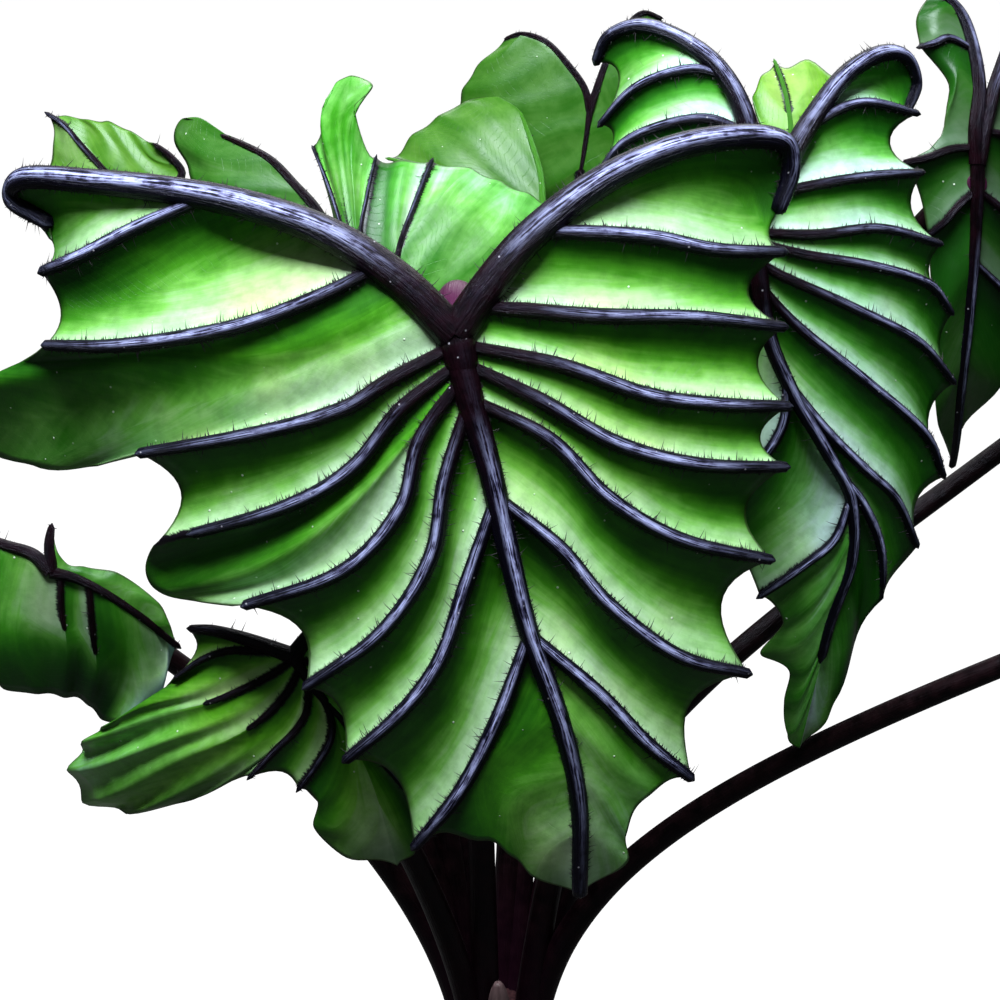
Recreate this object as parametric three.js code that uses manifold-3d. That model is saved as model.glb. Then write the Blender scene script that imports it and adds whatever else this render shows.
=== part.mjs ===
// A potted taro: a plain nursery pot of soil with thirteen quilted leaves on dark stalks.
// Units are millimetres, +Z is up, and the origin is the middle of the pot's base.
// The plant faces -Y. Each leaf is drawn flat on its own sheet, quilted between its ribs,
// bent to its shape and carried out to the end of its stalk.

import * as THREE from 'three';
import { mergeVertices } from 'three/addons/utils/BufferGeometryUtils.js';
import Module from 'manifold-3d';

const wasm = await Module();
wasm.setup();

// Driving dimensions

const POT = {
  height: 250, topRadius: 134, baseRadius: 102, wall: 3.4, floor: 5, rim: 30, rimOut: 6,
  baseEdge: 4, rimSlope: 3, lip: 2,
};
const DRAIN = { count: 6, ring: 62, radius: 8, sides: 10 };
const SOIL = { top: 226, bump: 2.5, rings: 4 };
// The leaf bases from the soil up, as heights with the radius there.
const CROWN_PROFILE = [
  [176, 19], [190, 24], [234, 24], [266, 27], [316, 28.5], [352, 27], [378, 23.5], [394, 11],
];
const CROWN = { hole: 25, lobes: 11, furrow: 0.06, sectors: 22 };
const SHOOT = { foot: [2, -19, 352], tip: [-1, -29, 421], radius: 6.4, sides: 8, steps: 8 };
const STALK = {
  sides: 6, steps: 8, ring: 16, footHeight: 350, footRadius: 7.6, endRadius: 5,
};
const CLEARANCE = 0.3;
const TURNED_SECTORS = 24;

const BLADE_THICKNESS = 0.9;

// How far the blade hangs in between two ribs, as a part of the way across, and how much of
// that it has at the spine and gains towards the margin.
const SAG = { depth: 0.15, atSpine: 0.7, gained: 0.5 };

// Ribs are three-sided. Their widths at either end are parts of the leaf's ribWidth.
const RIB = { lift: 0.7, heightToHalf: 1.5, midrib: [1.15, 0.5], lobe: [1.15, 0.6], side: [0.85, 0.5] };

// The strip of blade beyond the lobe rib, in parts of ribWidth, and how steeply it hangs.
const STRIP = { least: 0.35, more: 0.15, slope: 0.45 };

const COLOUR = {
  blade: 0x2f8f2a,
  rib: 0x1d1730,
  stalk: 0x2a1016,
  crown: 0x35131a,
  shoot: 0x7a5a5e,
  pot: 0x2c2a28,
  soil: 0x3a2a1e,
};

// Rib drawings. A leaf's flat sheet has u across to the leaf's right and v up towards the lobes, with
// the hub, where the stalk joins, at 0, 0. A rib springs from the spine of its side: the lobe rib
// at negative stations (-1 is its tip) and the midrib at positive ones (1 is the leaf's tip).
// A fold is a line that no rib follows, where the blade bulges out. Folds and ribs hang back by
// sink at their end. covers is the part of a line that its rib follows, where it isn't all.
// pull is how far the margin is drawn in between a rib and the next one, as a part of their length.
// lobe is the lobe rib's own line. A third coordinate below 0 rolls it back behind the sheet, and
// lobeRib is the part of it that is raised, where it isn't all.

const FRONT_SHEET = {
  midrib: [[6, -26], [14, -54], [22, -90], [30, -122], [43, -160], [51, -198], [52, -243]],
  right: {
    lobeRib: 0.76,
    lobe: [
      [12, 18, 0], [30, 40, 0], [58, 63, 0], [90, 80, 0], [120, 88, 0], [140, 89, -4],
      [145, 78, -9], [141, 60, -14],
    ],
    ribs: [
      { at: -0.26, line: [[52, 42], [80, 41], [108, 37], [137, 38]] },
      { at: -0.08, line: [[28, 10], [58, 8], [100, 8], [137, 5]] },
      { at: 0.02, line: [[42, -12], [78, -24], [108, -28], [139, -29]] },
      { at: 0.06, line: [[34, -26], [66, -44], [100, -53], [138, -55]] },
      { at: 0.14, line: [[38, -42], [62, -66], [92, -84], [132, -95]] },
      { at: 0.33, line: [[42, -86], [62, -110], [92, -134], [123, -145]] },
      { at: 0.57, line: [[58, -148], [79, -172], [99, -191]] },
      { at: 0.7, fold: true, sink: 1, line: [[64, -179], [82, -197]] },
      { at: 0.8, fold: true, sink: 2, line: [[61, -197], [72, -216]] },
      { at: 0.9, fold: true, sink: 3, line: [[60, -217], [73, -231]] },
    ],
    pull: [0.05, 0.1, 0.07, 0.07, 0.07, 0.09, 0.12, 0.02, 0.02, 0.02, -0.06],
  },
  left: {
    lobeRib: 0.79,
    lobe: [
      [-22, 22, 0], [-50, 41, 0], [-82, 54, 0], [-115, 63, 0], [-152, 71, 0], [-188, 78, 0],
      [-200, 72, -8], [-182, 58, -12],
    ],
    ribs: [
      { at: -0.45, line: [[-134, 48], [-158, 38], [-178, 32]] },
      { at: -0.165, line: [[-50, 18], [-82, 6], [-112, 0], [-144, -3], [-176, -2]] },
      { at: -0.1, fold: true, sink: 20, line: [[-70, -6], [-146, -12], [-226, -22]] },
      { at: -0.045, fold: true, sink: 30, line: [[-60, -14], [-130, -34], [-206, -60]] },
      { at: 0.02, line: [[-26, -18], [-46, -30], [-82, -40], [-132, -49]] },
      { at: 0.06, covers: 0.93, sink: 6, line: [[-22, -30], [-42, -54], [-72, -71], [-127, -88]] },
      { at: 0.075, fold: true, sink: 16, line: [[-40, -66], [-86, -98], [-134, -112]] },
      { at: 0.09, line: [[-14, -42], [-22, -70], [-46, -96], [-87, -112]] },
      { at: 0.14, line: [[-4, -58], [-10, -90], [-30, -121], [-62, -146]] },
      { at: 0.33, line: [[4, -102], [-6, -132], [-22, -155], [-46, -178]] },
      { at: 0.57, line: [[18, -156], [2, -190], [-18, -218]] },
      { at: 0.7, fold: true, sink: 1, line: [[10, -181], [9, -215]] },
      { at: 0.8, fold: true, sink: 2, line: [[24, -195], [22, -223]] },
      { at: 0.9, fold: true, sink: 3, line: [[39, -220], [32, -235]] },
    ],
    pull: [
      0.04, 0.03, -0.02, -0.12, -0.02, 0.05, -0.04, -0.05, 0.06, 0.04, 0.08, 0.05, 0.02, 0.02, -0.06,
    ],
  },
};

const RIGHT_SHEET = {
  midrib: [[3, -24], [7, -48], [18, -73], [33, -98], [46, -122], [48, -152], [38, -187], [29, -249]],
  right: {
    lobeRib: 0.72,
    lobe: [[16, 28, 0], [30, 50, 0], [47, 71, 0], [66, 84, 0], [82, 86, -2], [91, 76, -6], [87, 62, -10]],
    ribs: [
      { at: -0.19, line: [[31, 47], [54, 58], [84, 57]] },
      { at: -0.07, line: [[25, 18], [57, 24], [85, 28]] },
      { at: 0.01, line: [[29, -3], [61, 0], [95, -6]] },
      { at: 0.03, line: [[24, -12], [56, -17], [87, -25], [102, -39]] },
      { at: 0.07, line: [[13, -21], [45, -35], [81, -52], [104, -73]] },
      { at: 0.13, line: [[21, -44], [52, -68], [86, -96], [99, -119]] },
      { at: 0.34, line: [[33, -89], [52, -108], [70, -125], [84, -151]] },
      { at: 0.56, covers: 0.92, line: [[53, -126], [63, -148], [66, -174]] },
      { at: 0.85, fold: true, sink: 2, line: [[45, -208], [48, -222]] },
      { at: 0.93, fold: true, sink: 2, line: [[37, -235], [42, -238]] },
    ],
    pull: [0.05, 0.14, 0.06, 0.04, 0, 0.04, 0.03, -0.06, -0.04, 0.02, -0.08],
  },
  left: {
    lobe: [[1, 22, 0], [0, 44, 0], [-8, 66, 0], [-21, 82, 0], [-42, 95, 0], [-60, 96, -5], [-70, 87, -12]],
    ribs: [
      { at: -0.44, line: [[-24, 72, 0], [-48, 67, -2], [-68, 54, -9]] },
      { at: -0.27, line: [[-21, 49, 0], [-52, 43, -2], [-70, 29, -8]] },
      { at: 0.01, line: [[-24, 8], [-52, 8], [-80, 0]] },
      { at: 0.03, line: [[-18, -16], [-44, -27], [-73, -34]] },
      { at: 0.07, line: [[-10, -34], [-32, -53], [-60, -69]] },
      { at: 0.34, line: [[13, -86], [0, -106], [-24, -130]] },
      { at: 0.62, line: [[39, -140], [25, -151], [5, -165]] },
      { at: 0.69, fold: true, sink: 2, line: [[33, -167], [17, -180]] },
      { at: 0.76, fold: true, sink: 2, line: [[27, -188], [7, -195]] },
      { at: 0.81, fold: true, sink: 2, line: [[31, -202], [21, -205]] },
      { at: 0.87, fold: true, sink: 2, line: [[28, -219], [20, -222]] },
      { at: 0.93, fold: true, sink: 2, line: [[27, -237], [23, -241]] },
    ],
    pull: [0.22, 0.12, 0.08, 0.08, 0.08, 0.08, 0.06, 0.02, 0.02, 0.02, 0.02, 0, -0.08],
  },
};

const PALE_SHEET = {
  midrib: [[-2, -25], [-9, -49], [-17, -75]],
  right: {
    lobe: [[8, -1], [17, -6], [27, -14]],
    ribs: [
      { at: -0.75, line: [[24, -31, 0], [32, -59, 0], [43, -91, -3]] },
      { at: -0.62, fold: true, sink: 0, line: [[22, -33, 0], [29, -62, 2], [36, -98, 8],
        [28, -112, 16]] },
      { at: -0.52, fold: true, sink: 0, line: [[21, -33, 0], [26, -62, 3], [29, -97, 10],
        [20, -112, 20]] },
      { at: -0.46, fold: true, sink: 0, line: [[19, -32, 0], [23, -62, 3], [24, -92, 12],
        [10, -98, 26]] },
      { at: -0.4, fold: true, sink: 0, line: [[18, -31, 0], [20, -56, 3], [21, -78, 8],
        [18, -92, 18]] },
      { at: -0.3, line: [[16, -30], [14, -53], [10, -77]] },
      { at: 0.3, fold: true, sink: 0, line: [[0, -39], [-4, -75]] },
    ],
    pull: [0.02, 0, 0, 0, 0, 0.05, 0.02, 0],
  },
  left: {
    lobeRib: 0.67,
    lobe: [[-12, 7, -3], [-28, 10, -8], [-44, -1, -10]],
    ribs: [
      { at: -0.8, fold: true, sink: 0, line: [[-55, -13], [-66, -32], [-79, -57]] },
      { at: -0.4, fold: true, sink: 0, line: [[-39, -20], [-55, -42], [-66, -64]] },
      { at: -0.1, fold: true, sink: 0, line: [[-24, -31], [-39, -52], [-51, -68]] },
      { at: 0.3, fold: true, sink: 0, line: [[-14, -41], [-25, -59], [-36, -73]] },
    ],
    pull: [0.02, 0.02, 0.02, 0.02, 0],
  },
};

const LOW_SHEET = {
  midrib: [[7, -11], [19, -27], [33, -55], [44, -99]],
  right: {
    lobe: [[11, 12], [29, 19], [50, 9]],
    ribs: [
      { at: -0.4, line: [[34, 7], [54, -4]] },
      { at: 0.03, line: [[30, -8], [59, -21]] },
      { at: 0.13, line: [[39, -27], [64, -44]] },
      { at: 0.42, line: [[42, -52], [56, -73]] },
      { at: 0.82, fold: true, sink: 0, line: [[44, -80], [52, -94]] },
    ],
    pull: [0.1, 0.1, 0.1, 0.1, 0.1, 0],
  },
  left: {
    lobe: [[-11, 4], [-23, 8], [-35, 11], [-46, 12]],
    ribs: [
      { at: -0.12, line: [[-16, 2], [-28, 2], [-40, -2], [-52, -10]] },
      { at: -0.04, fold: true, sink: 0, line: [[-20, -5, 0], [-44, -16, 0], [-71, -25, -2],
        [-96, -39, -6]] },
      { at: 0.03, covers: 0.6, line: [[-9, -8, 0], [-23, -15, 0], [-38, -21, 0], [-67, -30, -3],
        [-116, -53, -9]] },
      { at: 0.06, fold: true, sink: 0, line: [[-10, -16, 0], [-34, -29, 0], [-73, -47, -4],
        [-141, -86, -14]] },
      { at: 0.12, covers: 0.52, line: [[-2, -15, 0], [-12, -26, 0], [-27, -36, 0], [-63, -55, -5],
        [-131, -107, -16]] },
      { at: 0.16, fold: true, sink: 0, line: [[1, -22, 0], [-15, -38, -2], [-41, -57, -6],
        [-90, -92, -14]] },
      { at: 0.2, fold: true, sink: 0, line: [[2, -26, 0], [-9, -40, -2], [-26, -54, -6],
        [-46, -69, -10]] },
      { at: 0.25, line: [[6, -23], [1, -32], [-8, -41], [-19, -53]] },
      { at: 0.36, line: [[16, -26], [16, -36], [10, -47], [2, -58]] },
      { at: 0.5, fold: true, sink: 0, line: [[22, -44], [18, -56], [10, -64]] },
      { at: 0.64, fold: true, sink: 0, line: [[26, -64, 0], [18, -76, 0], [8, -77, -2]] },
      { at: 0.82, fold: true, sink: 0, line: [[34, -82, 0], [22, -93, -2]] },
    ],
    pull: [0.12, 0, 0, 0, 0, 0, 0, 0.05, 0.08, 0.02, 0, 0, 0],
  },
};

const FAR_SHEET = {
  midrib: [[12, -3], [27, -11], [43, -23], [58, -38]],
  right: {
    lobe: [[0, 5], [-1, 13], [0, 22]],
    ribs: [
      { at: -0.3, fold: true, sink: 0, line: [[3, 7], [4, 8]] },
      { at: 0.1, fold: true, sink: 0, line: [[13, 0, 0], [15, 3, -2]] },
      { at: 0.35, fold: true, sink: 0, line: [[25, -4, 0], [31, 0, -2]] },
      { at: 0.65, fold: true, sink: 0, line: [[42, -13, 0], [50, -15, -2]] },
      { at: 0.82, fold: true, sink: 0, line: [[52, -26, 0], [55, -26, -2]] },
    ],
    pull: [0.02, 0.3, 0.02, 0, 0, 0],
  },
  left: {
    lobe: [[-8, 8], [-19, 12], [-34, 16], [-49, 12]],
    ribs: [
      { at: -0.6, fold: true, sink: 0, line: [[-29, -8, 0], [-34, -33, 0], [-28, -60, -6]] },
      { at: -0.25, fold: true, sink: 0, line: [[-13, -13, 0], [-16, -34, 0], [-11, -63, -6]] },
      { at: 0.1, covers: 0.5, line: [[5, -18, 0], [7, -36, 0], [3, -65, -6]] },
      { at: 0.35, covers: 0.5, line: [[19, -28, 0], [20, -48, 0], [14, -70, -6]] },
      { at: 0.52, fold: true, sink: 0, line: [[31, -32, 0], [30, -55, -2], [20, -78, -4]] },
      { at: 0.66, fold: true, sink: 0, line: [[39, -38, 0], [40, -60, 4], [32, -75, 4]] },
      { at: 0.82, fold: true, sink: 0, line: [[50, -42, 0], [51, -52, 3], [47, -65, 3]] },
    ],
    pull: [0.04, 0, 0, 0, 0, 0, 0, -0.04],
  },
};

const TALL_SHEET = {
  midrib: [[-2, -14], [-5, -32], [-10, -50]],
  right: {
    lobe: [[4, 13], [10, 29], [18, 43], [27, 52], [37, 50]],
    ribs: [
      { at: -0.7, fold: true, sink: 0, line: [[32, 41], [40, 36]] },
      { at: -0.3, fold: true, sink: 0, line: [[20, 12], [37, 4]] },
      { at: 0.2, fold: true, sink: 0, line: [[11, -8], [30, -15]] },
      { at: 0.6, fold: true, sink: 0, line: [[5, -34], [19, -41]] },
    ],
    pull: [0.02, 0.05, 0.05, 0.05, 0.05],
  },
  left: {
    lobe: [[-3, 12, 0], [-12, 25, 0], [-22, 36, 0], [-34, 41, 0], [-44, 41, -4]],
    ribs: [
      { at: -0.8, fold: true, sink: 0, line: [[-46, 30, 0], [-59, 28, -4]] },
      { at: -0.5, fold: true, sink: 0, line: [[-34, 19, 0], [-51, 14, 0], [-68, 15, -4]] },
      { at: -0.2, fold: true, sink: 0, line: [[-23, 6, 0], [-46, 2, 0], [-72, -2, -4]] },
      { at: 0.2, fold: true, sink: 0, line: [[-15, -10], [-35, -17], [-58, -22]] },
      { at: 0.6, fold: true, sink: 0, line: [[-16, -35], [-30, -42], [-46, -48]] },
    ],
    pull: [-0.04, 0.03, 0.03, 0.04, 0.04, 0.04],
  },
};

const MIDDLE_SHEET = {
  midrib: [[-17, 13], [-47, 27], [-81, 47]],
  right: {
    lobe: [[2, -8], [-2, -16]],
    ribs: [
      { at: -0.4, fold: true, sink: 0, line: [[-7, -8], [-15, -14]] },
      { at: 0.5, fold: true, sink: 0, line: [[-41, 17], [-48, 13]] },
    ],
    pull: [0.02, 0.02, 0.02],
  },
  left: {
    lobe: [[-1, 10], [-2, 26], [-7, 46], [-12, 63]],
    ribs: [
      { at: -0.75, fold: true, sink: 0, line: [[-12, 63, 0], [-24, 78, -3]] },
      { at: -0.4, fold: true, sink: 0, line: [[-17, 46, 0], [-28, 64, 0], [-39, 78, -3]] },
      { at: -0.1, fold: true, sink: 0, line: [[-22, 30, 0], [-41, 55, 0], [-55, 71, -3]] },
      { at: 0.5, fold: true, sink: 0, line: [[-55, 40, 0], [-69, 61, -2]] },
    ],
    pull: [-0.05, -0.02, 0, 0.02, 0.02],
  },
};

const SHADE_SHEET = {
  midrib: [[-5, -10], [-13, -23]],
  right: {
    lobe: [[6, -4], [10, -12]],
    ribs: [
      { at: -0.5, fold: true, sink: 0, line: [[7, -16], [6, -23]] },
      { at: 0.4, fold: true, sink: 0, line: [[-2, -20], [-1, -27]] },
    ],
    pull: [0.02, 0.02, 0.02],
  },
  left: {
    lobeRib: 0.9,
    lobe: [[-8, 15], [-18, 27], [-29, 40], [-42, 50], [-55, 59]],
    ribs: [
      { at: -0.9, fold: true, sink: 0, line: [[-60, 66], [-69, 75], [-77, 78]] },
      { at: -0.65, fold: true, sink: 0, line: [[-51, 44, 0], [-67, 52, 0], [-84, 68, -4]] },
      { at: -0.35, fold: true, sink: 0, line: [[-34, 27, 0], [-53, 30, 0], [-73, 40, -4]] },
      { at: -0.1, fold: true, sink: 0, line: [[-24, 7, 0], [-44, 10, 0], [-64, 17, -4]] },
      { at: 0.4, fold: true, sink: 0, line: [[-19, -13], [-33, -12]] },
    ],
    pull: [0.06, -0.04, 0.04, 0.04, 0.04, 0.04],
  },
};

const EDGE_SHEET = {
  midrib: [[-15, 9, 0], [-30, 25, 0], [-41, 39, 2], [-48, 45, 4]],
  right: {
    lobe: [[-9, -3], [-21, -4]],
    ribs: [
      { at: -0.3, fold: true, sink: 0, line: [[-25, -1], [-40, 4]] },
      { at: 0.3, fold: true, sink: 0, line: [[-31, 12, 0], [-52, 16, -2]] },
      { at: 0.7, fold: true, sink: 0, line: [[-42, 27], [-47, 30]] },
    ],
    pull: [0.02, 0.03, 0.05, 0.06],
  },
  left: {
    lobe: [[8, 5, 0], [14, 13, 0], [9, 20, 2], [2, 25, 4]],
    ribs: [
      { at: -0.6, fold: true, sink: 0, line: [[0, 20], [-9, 33]] },
      { at: -0.2, fold: true, sink: 0, line: [[-7, 19], [-20, 39]] },
      { at: 0.3, fold: true, sink: 0, line: [[-22, 30], [-30, 41]] },
      { at: 0.7, fold: true, sink: 0, line: [[-38, 42], [-41, 45]] },
    ],
    pull: [0.02, 0.02, 0.02, 0.02, 0.04],
  },
};

const FAR_RIGHT_SHEET = {
  midrib: [[-2, -31], [-3, -70], [-1, -112], [7, -161]],
  right: {
    lobe: [[7, 20], [20, 44], [43, 73], [86, 109]],
    ribs: [
      { at: -0.6, fold: true, sink: 0, line: [[52, 57], [98, 68]] },
      { at: -0.2, line: [[32, 10], [83, 6]] },
      { at: 0.1, line: [[23, -28], [68, -44]] },
      { at: 0.35, line: [[22, -68], [47, -89]] },
      { at: 0.65, fold: true, sink: 0, line: [[14, -108], [23, -114]] },
    ],
    pull: [0.05, 0.05, 0.06, 0.06, 0.06, 0.12],
  },
  left: {
    lobe: [[1, 16], [6, 35], [8, 55], [7, 75], [-1, 90]],
    ribs: [
      { at: -0.85, fold: true, sink: 0, line: [[-4, 78, 0], [-14, 78, -6]] },
      { at: -0.6, line: [[-3, 62, 0], [-12, 60, 0], [-17, 62, -6]] },
      { at: -0.35, fold: true, sink: 0, line: [[-2, 44, 0], [-6, 39, 0], [-8, 37, -4]] },
      { at: -0.1, line: [[-13, 8, 0], [-25, 5, 0], [-35, 4, -4]] },
      { at: 0.1, line: [[-10, -18, 0], [-18, -26, 0], [-25, -33, -4]] },
      { at: 0.35, fold: true, sink: 0, line: [[-14, -64, 0], [-19, -80, -4]] },
      { at: 0.65, fold: true, sink: 0, line: [[-8, -116, 0], [-10, -128, -3]] },
    ],
    pull: [-0.06, 0.04, 0.1, 0.5, 0.12, 0.06, 0.04, 0.05],
  },
};

const SMALL_SHEET = {
  midrib: [[0, 16], [-2, 35], [-6, 55]],
  right: {
    lobe: [[-7, 0], [-13, 7]],
    ribs: [
      { at: -0.4, fold: true, sink: 0, line: [[-15, 16], [-19, 31]] },
      { at: 0.4, fold: true, sink: 0, line: [[-10, 32], [-14, 45]] },
    ],
    pull: [0.02, 0.04, 0.02],
  },
  left: {
    lobe: [[11, 1], [21, 8]],
    ribs: [
      { at: -0.4, fold: true, sink: 0, line: [[20, 25, 0], [36, 46, -3]] },
      { at: 0.4, fold: true, sink: 0, line: [[9, 37], [12, 57]] },
    ],
    pull: [0.02, 0.08, 0.1],
  },
};

const PLAIN_SIDE = {
  lobe: [[24, 28], [62, 54], [104, 68], [146, 66]],
  ribs: [
    { at: -0.5, line: [[88, 42], [146, 30]] },
    { at: -0.16, line: [[66, 12], [142, -8]] },
    { at: 0.03, line: [[62, -22], [128, -50]] },
    { at: 0.1, line: [[46, -52], [104, -94]] },
    { at: 0.24, line: [[34, -92], [74, -140]] },
    { at: 0.46, line: [[26, -138], [44, -180]] },
  ],
  pull: [0.1, 0.1, 0.1, 0.1, 0.1, 0.1, 0.08],
};

// Leaves. hub is where the stalk joins. faces is the compass bearing of the leaf's upper side (0 is
// the front, 90 the right), up how far that side is turned to the sky, and spin how far the leaf's
// tip swings to its left. rollRadius bends the two halves back, fallRadius the lower part and
// liftRadius the lobes. twist turns the blade along its length, in degrees for each 100 mm. seat is
// the bearing at which the stalk leaves the middle of the plant; rise and bend say how far it
// keeps to its direction at its foot and at the leaf, as parts of the way between them. knee is
// how far its last bend is drawn up behind the hub, and join how far below the hub it ends.

const LEAVES = [
  {
    name: 'front', sheet: 'front', scale: 1, hub: [-18, -150, 790], faces: 0, up: 20, spin: 0,
    rollRadius: 420, fallRadius: 520, liftRadius: 380, twist: 0, seat: 245, rise: 0.2, bend: 0.12,
    knee: 120, rows: 5, columns: 4, ribWidth: 9,
  },
  {
    name: 'right', sheet: 'right', scale: 1, hub: [109, -57, 811], faces: 4, up: 20, spin: 0,
    rollRadius: 160, fallRadius: 420, liftRadius: 300, twist: 0, seat: 318,
    rows: 4, columns: 3, ribWidth: 6.4,
  },
  {
    name: 'back_pale', sheet: 'pale', scale: 1, hub: [-50, 30, 755], faces: 0, up: 30, spin: 180,
    rollRadius: 170, fallRadius: 200, liftRadius: 220, twist: 0, seat: 150, ribWidth: 2.8,
  },
  {
    name: 'back_tall', sheet: 'tall', scale: 1, hub: [45, 130, 825], faces: 0, up: 20, spin: 0,
    rollRadius: 160, fallRadius: 260, liftRadius: 220, twist: 0, seat: 65, ribWidth: 2.4,
  },
  {
    name: 'back_middle', sheet: 'middle', scale: 1, hub: [22, 85, 778], faces: 0, up: 28, spin: 0,
    rollRadius: 170, fallRadius: 200, liftRadius: 150, twist: 0, seat: 84, ribWidth: 2.4,
  },
  {
    name: 'back_left', sheet: 'shade', scale: 1, hub: [-76, 0, 791], faces: 0, up: 25, spin: 0,
    rollRadius: 160, fallRadius: 160, liftRadius: 150, twist: 0, seat: 172, ribWidth: 3,
  },
  {
    name: 'back_edge', sheet: 'edge', scale: 1, hub: [-156, -20, 814], faces: 0, up: 25, spin: 0,
    rollRadius: 120, fallRadius: 150, liftRadius: 150, twist: 0, seat: 190, join: 4, ribWidth: 2.8,
  },
  {
    name: 'low_left', sheet: 'low', scale: 1, hub: [-88, -138, 645], faces: 0, up: 22, spin: 0,
    rollRadius: 150, fallRadius: 200, liftRadius: 160, twist: 0, seat: 232, ribWidth: 4.4,
  },
  {
    name: 'far_left', sheet: 'far', scale: 1, hub: [-207, -42, 645], faces: 0, up: 24, spin: 0,
    rollRadius: 160, fallRadius: 110, liftRadius: 160, twist: 0, seat: 207, rise: 0.42, bend: 0.2,
    ribWidth: 4,
  },
  {
    name: 'far_right', sheet: 'farRight', scale: 1, hub: [225, 48, 816], faces: 20, up: 15, spin: 0,
    rollRadius: 120, fallRadius: 220, liftRadius: 160, twist: 0, seat: 2, ribWidth: 5.4,
  },
  {
    name: 'back_right', sheet: 'small', scale: 1, hub: [149, 150, 800], faces: 0, up: 30, spin: 0,
    rollRadius: 120, fallRadius: 160, liftRadius: 120, twist: 0, seat: 47, join: 4, ribWidth: 2.6,
  },
  {
    name: 'low_right', sheet: 'plain', scale: 0.8, hub: [292, -100, 663], faces: 75, up: 35, spin: 0,
    rollRadius: 170, fallRadius: 200, liftRadius: 170, twist: 6, seat: 340, rise: 0.29, bend: 0.53,
    knee: 21,
  },
  {
    name: 'mid_right', sheet: 'plain', scale: 0.74, hub: [312, 110, 706], faces: 110, up: 40, spin: 0,
    rollRadius: 160, fallRadius: 200, liftRadius: 160, twist: -6, seat: 25, rise: 0.4, bend: 0.49,
    knee: 27,
  },
];

const PLAIN_LEAF = { rows: 3, columns: 2, ribWidth: 6, rise: 0.3, bend: 0.16, knee: 0, join: 9 };

// Geometry helpers

const group = new THREE.Group();

function addMesh(name, geometry, colour, roughness) {
  const material = new THREE.MeshStandardMaterial({ color: colour, roughness, metalness: 0 });
  const mesh = new THREE.Mesh(geometry, material);
  mesh.name = name;
  group.add(mesh);
}

function toSolid(geometry) {
  const bare = geometry.clone();
  bare.deleteAttribute('normal');
  bare.deleteAttribute('uv');
  const merged = mergeVertices(bare, 1e-4);
  return new wasm.Manifold(new wasm.Mesh({
    numProp: 3,
    vertProperties: new Float32Array(merged.attributes.position.array),
    triVerts: new Uint32Array(merged.index.array),
  }));
}

function toGeometry(solid) {
  const mesh = solid.getMesh();
  const geometry = new THREE.BufferGeometry();
  geometry.setAttribute('position', new THREE.BufferAttribute(mesh.vertProperties, 3));
  geometry.setIndex(new THREE.BufferAttribute(mesh.triVerts, 1));
  return geometry;
}

function geometryFrom(points, triangles) {
  const geometry = new THREE.BufferGeometry();
  const numbers = points.flatMap((point) => [point.x, point.y, point.z]);
  geometry.setAttribute('position', new THREE.BufferAttribute(new Float32Array(numbers), 3));
  geometry.setIndex(triangles.flat());
  return geometry;
}

// A body swept along rings of equal count, closed by a fan at each end.
function loft(rings) {
  const count = rings[0].length;
  const points = rings.flat();
  const triangles = [];
  for (let ring = 0; ring + 1 < rings.length; ring += 1) {
    for (let k = 0; k < count; k += 1) {
      const a = ring * count + k;
      const b = ring * count + ((k + 1) % count);
      triangles.push([a, b, b + count], [a, b + count, a + count]);
    }
  }
  const last = (rings.length - 1) * count;
  for (let k = 1; k + 1 < count; k += 1) {
    triangles.push([0, k + 1, k], [last, last + k, last + k + 1]);
  }
  return geometryFrom(points, triangles);
}

// The flat sheet of a leaf

function curveThrough(line, start = [0, 0, 0]) {
  const points = [start, ...line].map(([u, v, w = 0]) => new THREE.Vector3(u, v, w));
  return new THREE.CatmullRomCurve3(points, false, 'catmullrom', 0.5);
}

// The line of a rib or fold from its root: it runs straight on where s is over 1, and it hangs
// back by the rib's sink at its end.
function sunkLine(rib, root) {
  const curve = curveThrough(rib.line, root.toArray());
  const sink = rib.sink ?? 0;
  return (s) => {
    const over = Math.max(0, s - 1);
    const point = curve.getPoint(s - over).addScaledVector(curve.getTangent(1), over * curve.getLength());
    return point.setZ(point.z - sink * s ** 1.5);
  };
}

function mirrored(side) {
  const flip = (line) => line.map(([u, v]) => [-u, v]);
  return {
    lobe: flip(side.lobe),
    ribs: side.ribs.map((rib) => ({ ...rib, line: flip(rib.line) })),
    pull: side.pull,
  };
}

const PLAIN_SHEET = {
  midrib: [[2, -50], [-3, -110], [2, -170], [0, -222]],
  right: PLAIN_SIDE,
  left: mirrored(PLAIN_SIDE),
};

const SHEETS = {
  front: FRONT_SHEET,
  right: RIGHT_SHEET,
  pale: PALE_SHEET,
  tall: TALL_SHEET,
  middle: MIDDLE_SHEET,
  shade: SHADE_SHEET,
  edge: EDGE_SHEET,
  low: LOW_SHEET,
  far: FAR_SHEET,
  farRight: FAR_RIGHT_SHEET,
  small: SMALL_SHEET,
  plain: PLAIN_SHEET,
};

function spanOf(from, to, parts) {
  return Array.from({ length: parts + 1 }, (_, k) => from + ((to - from) * k) / parts);
}

// Stations nearer than this are one station.
const SAME = 1e-6;

// Stations along the spine of one side, from the lobe's tip through the hub to the leaf's tip.
function spineStations(leaf, side) {
  const forks = [...leaf.sheet.right.ribs, ...leaf.sheet.left.ribs].map((rib) => rib.at);
  const shared = [...new Set(forks.filter((at) => at > 0))].sort((a, b) => a - b);
  const own = side.ribs.map((rib) => rib.at).filter((at) => at < 0);
  return [
    ...spanOf(-1, own[0], leaf.rows),
    ...own.slice(1),
    0,
    ...shared,
    ...spanOf(shared[shared.length - 1], 1, leaf.rows).slice(1),
  ];
}

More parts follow.
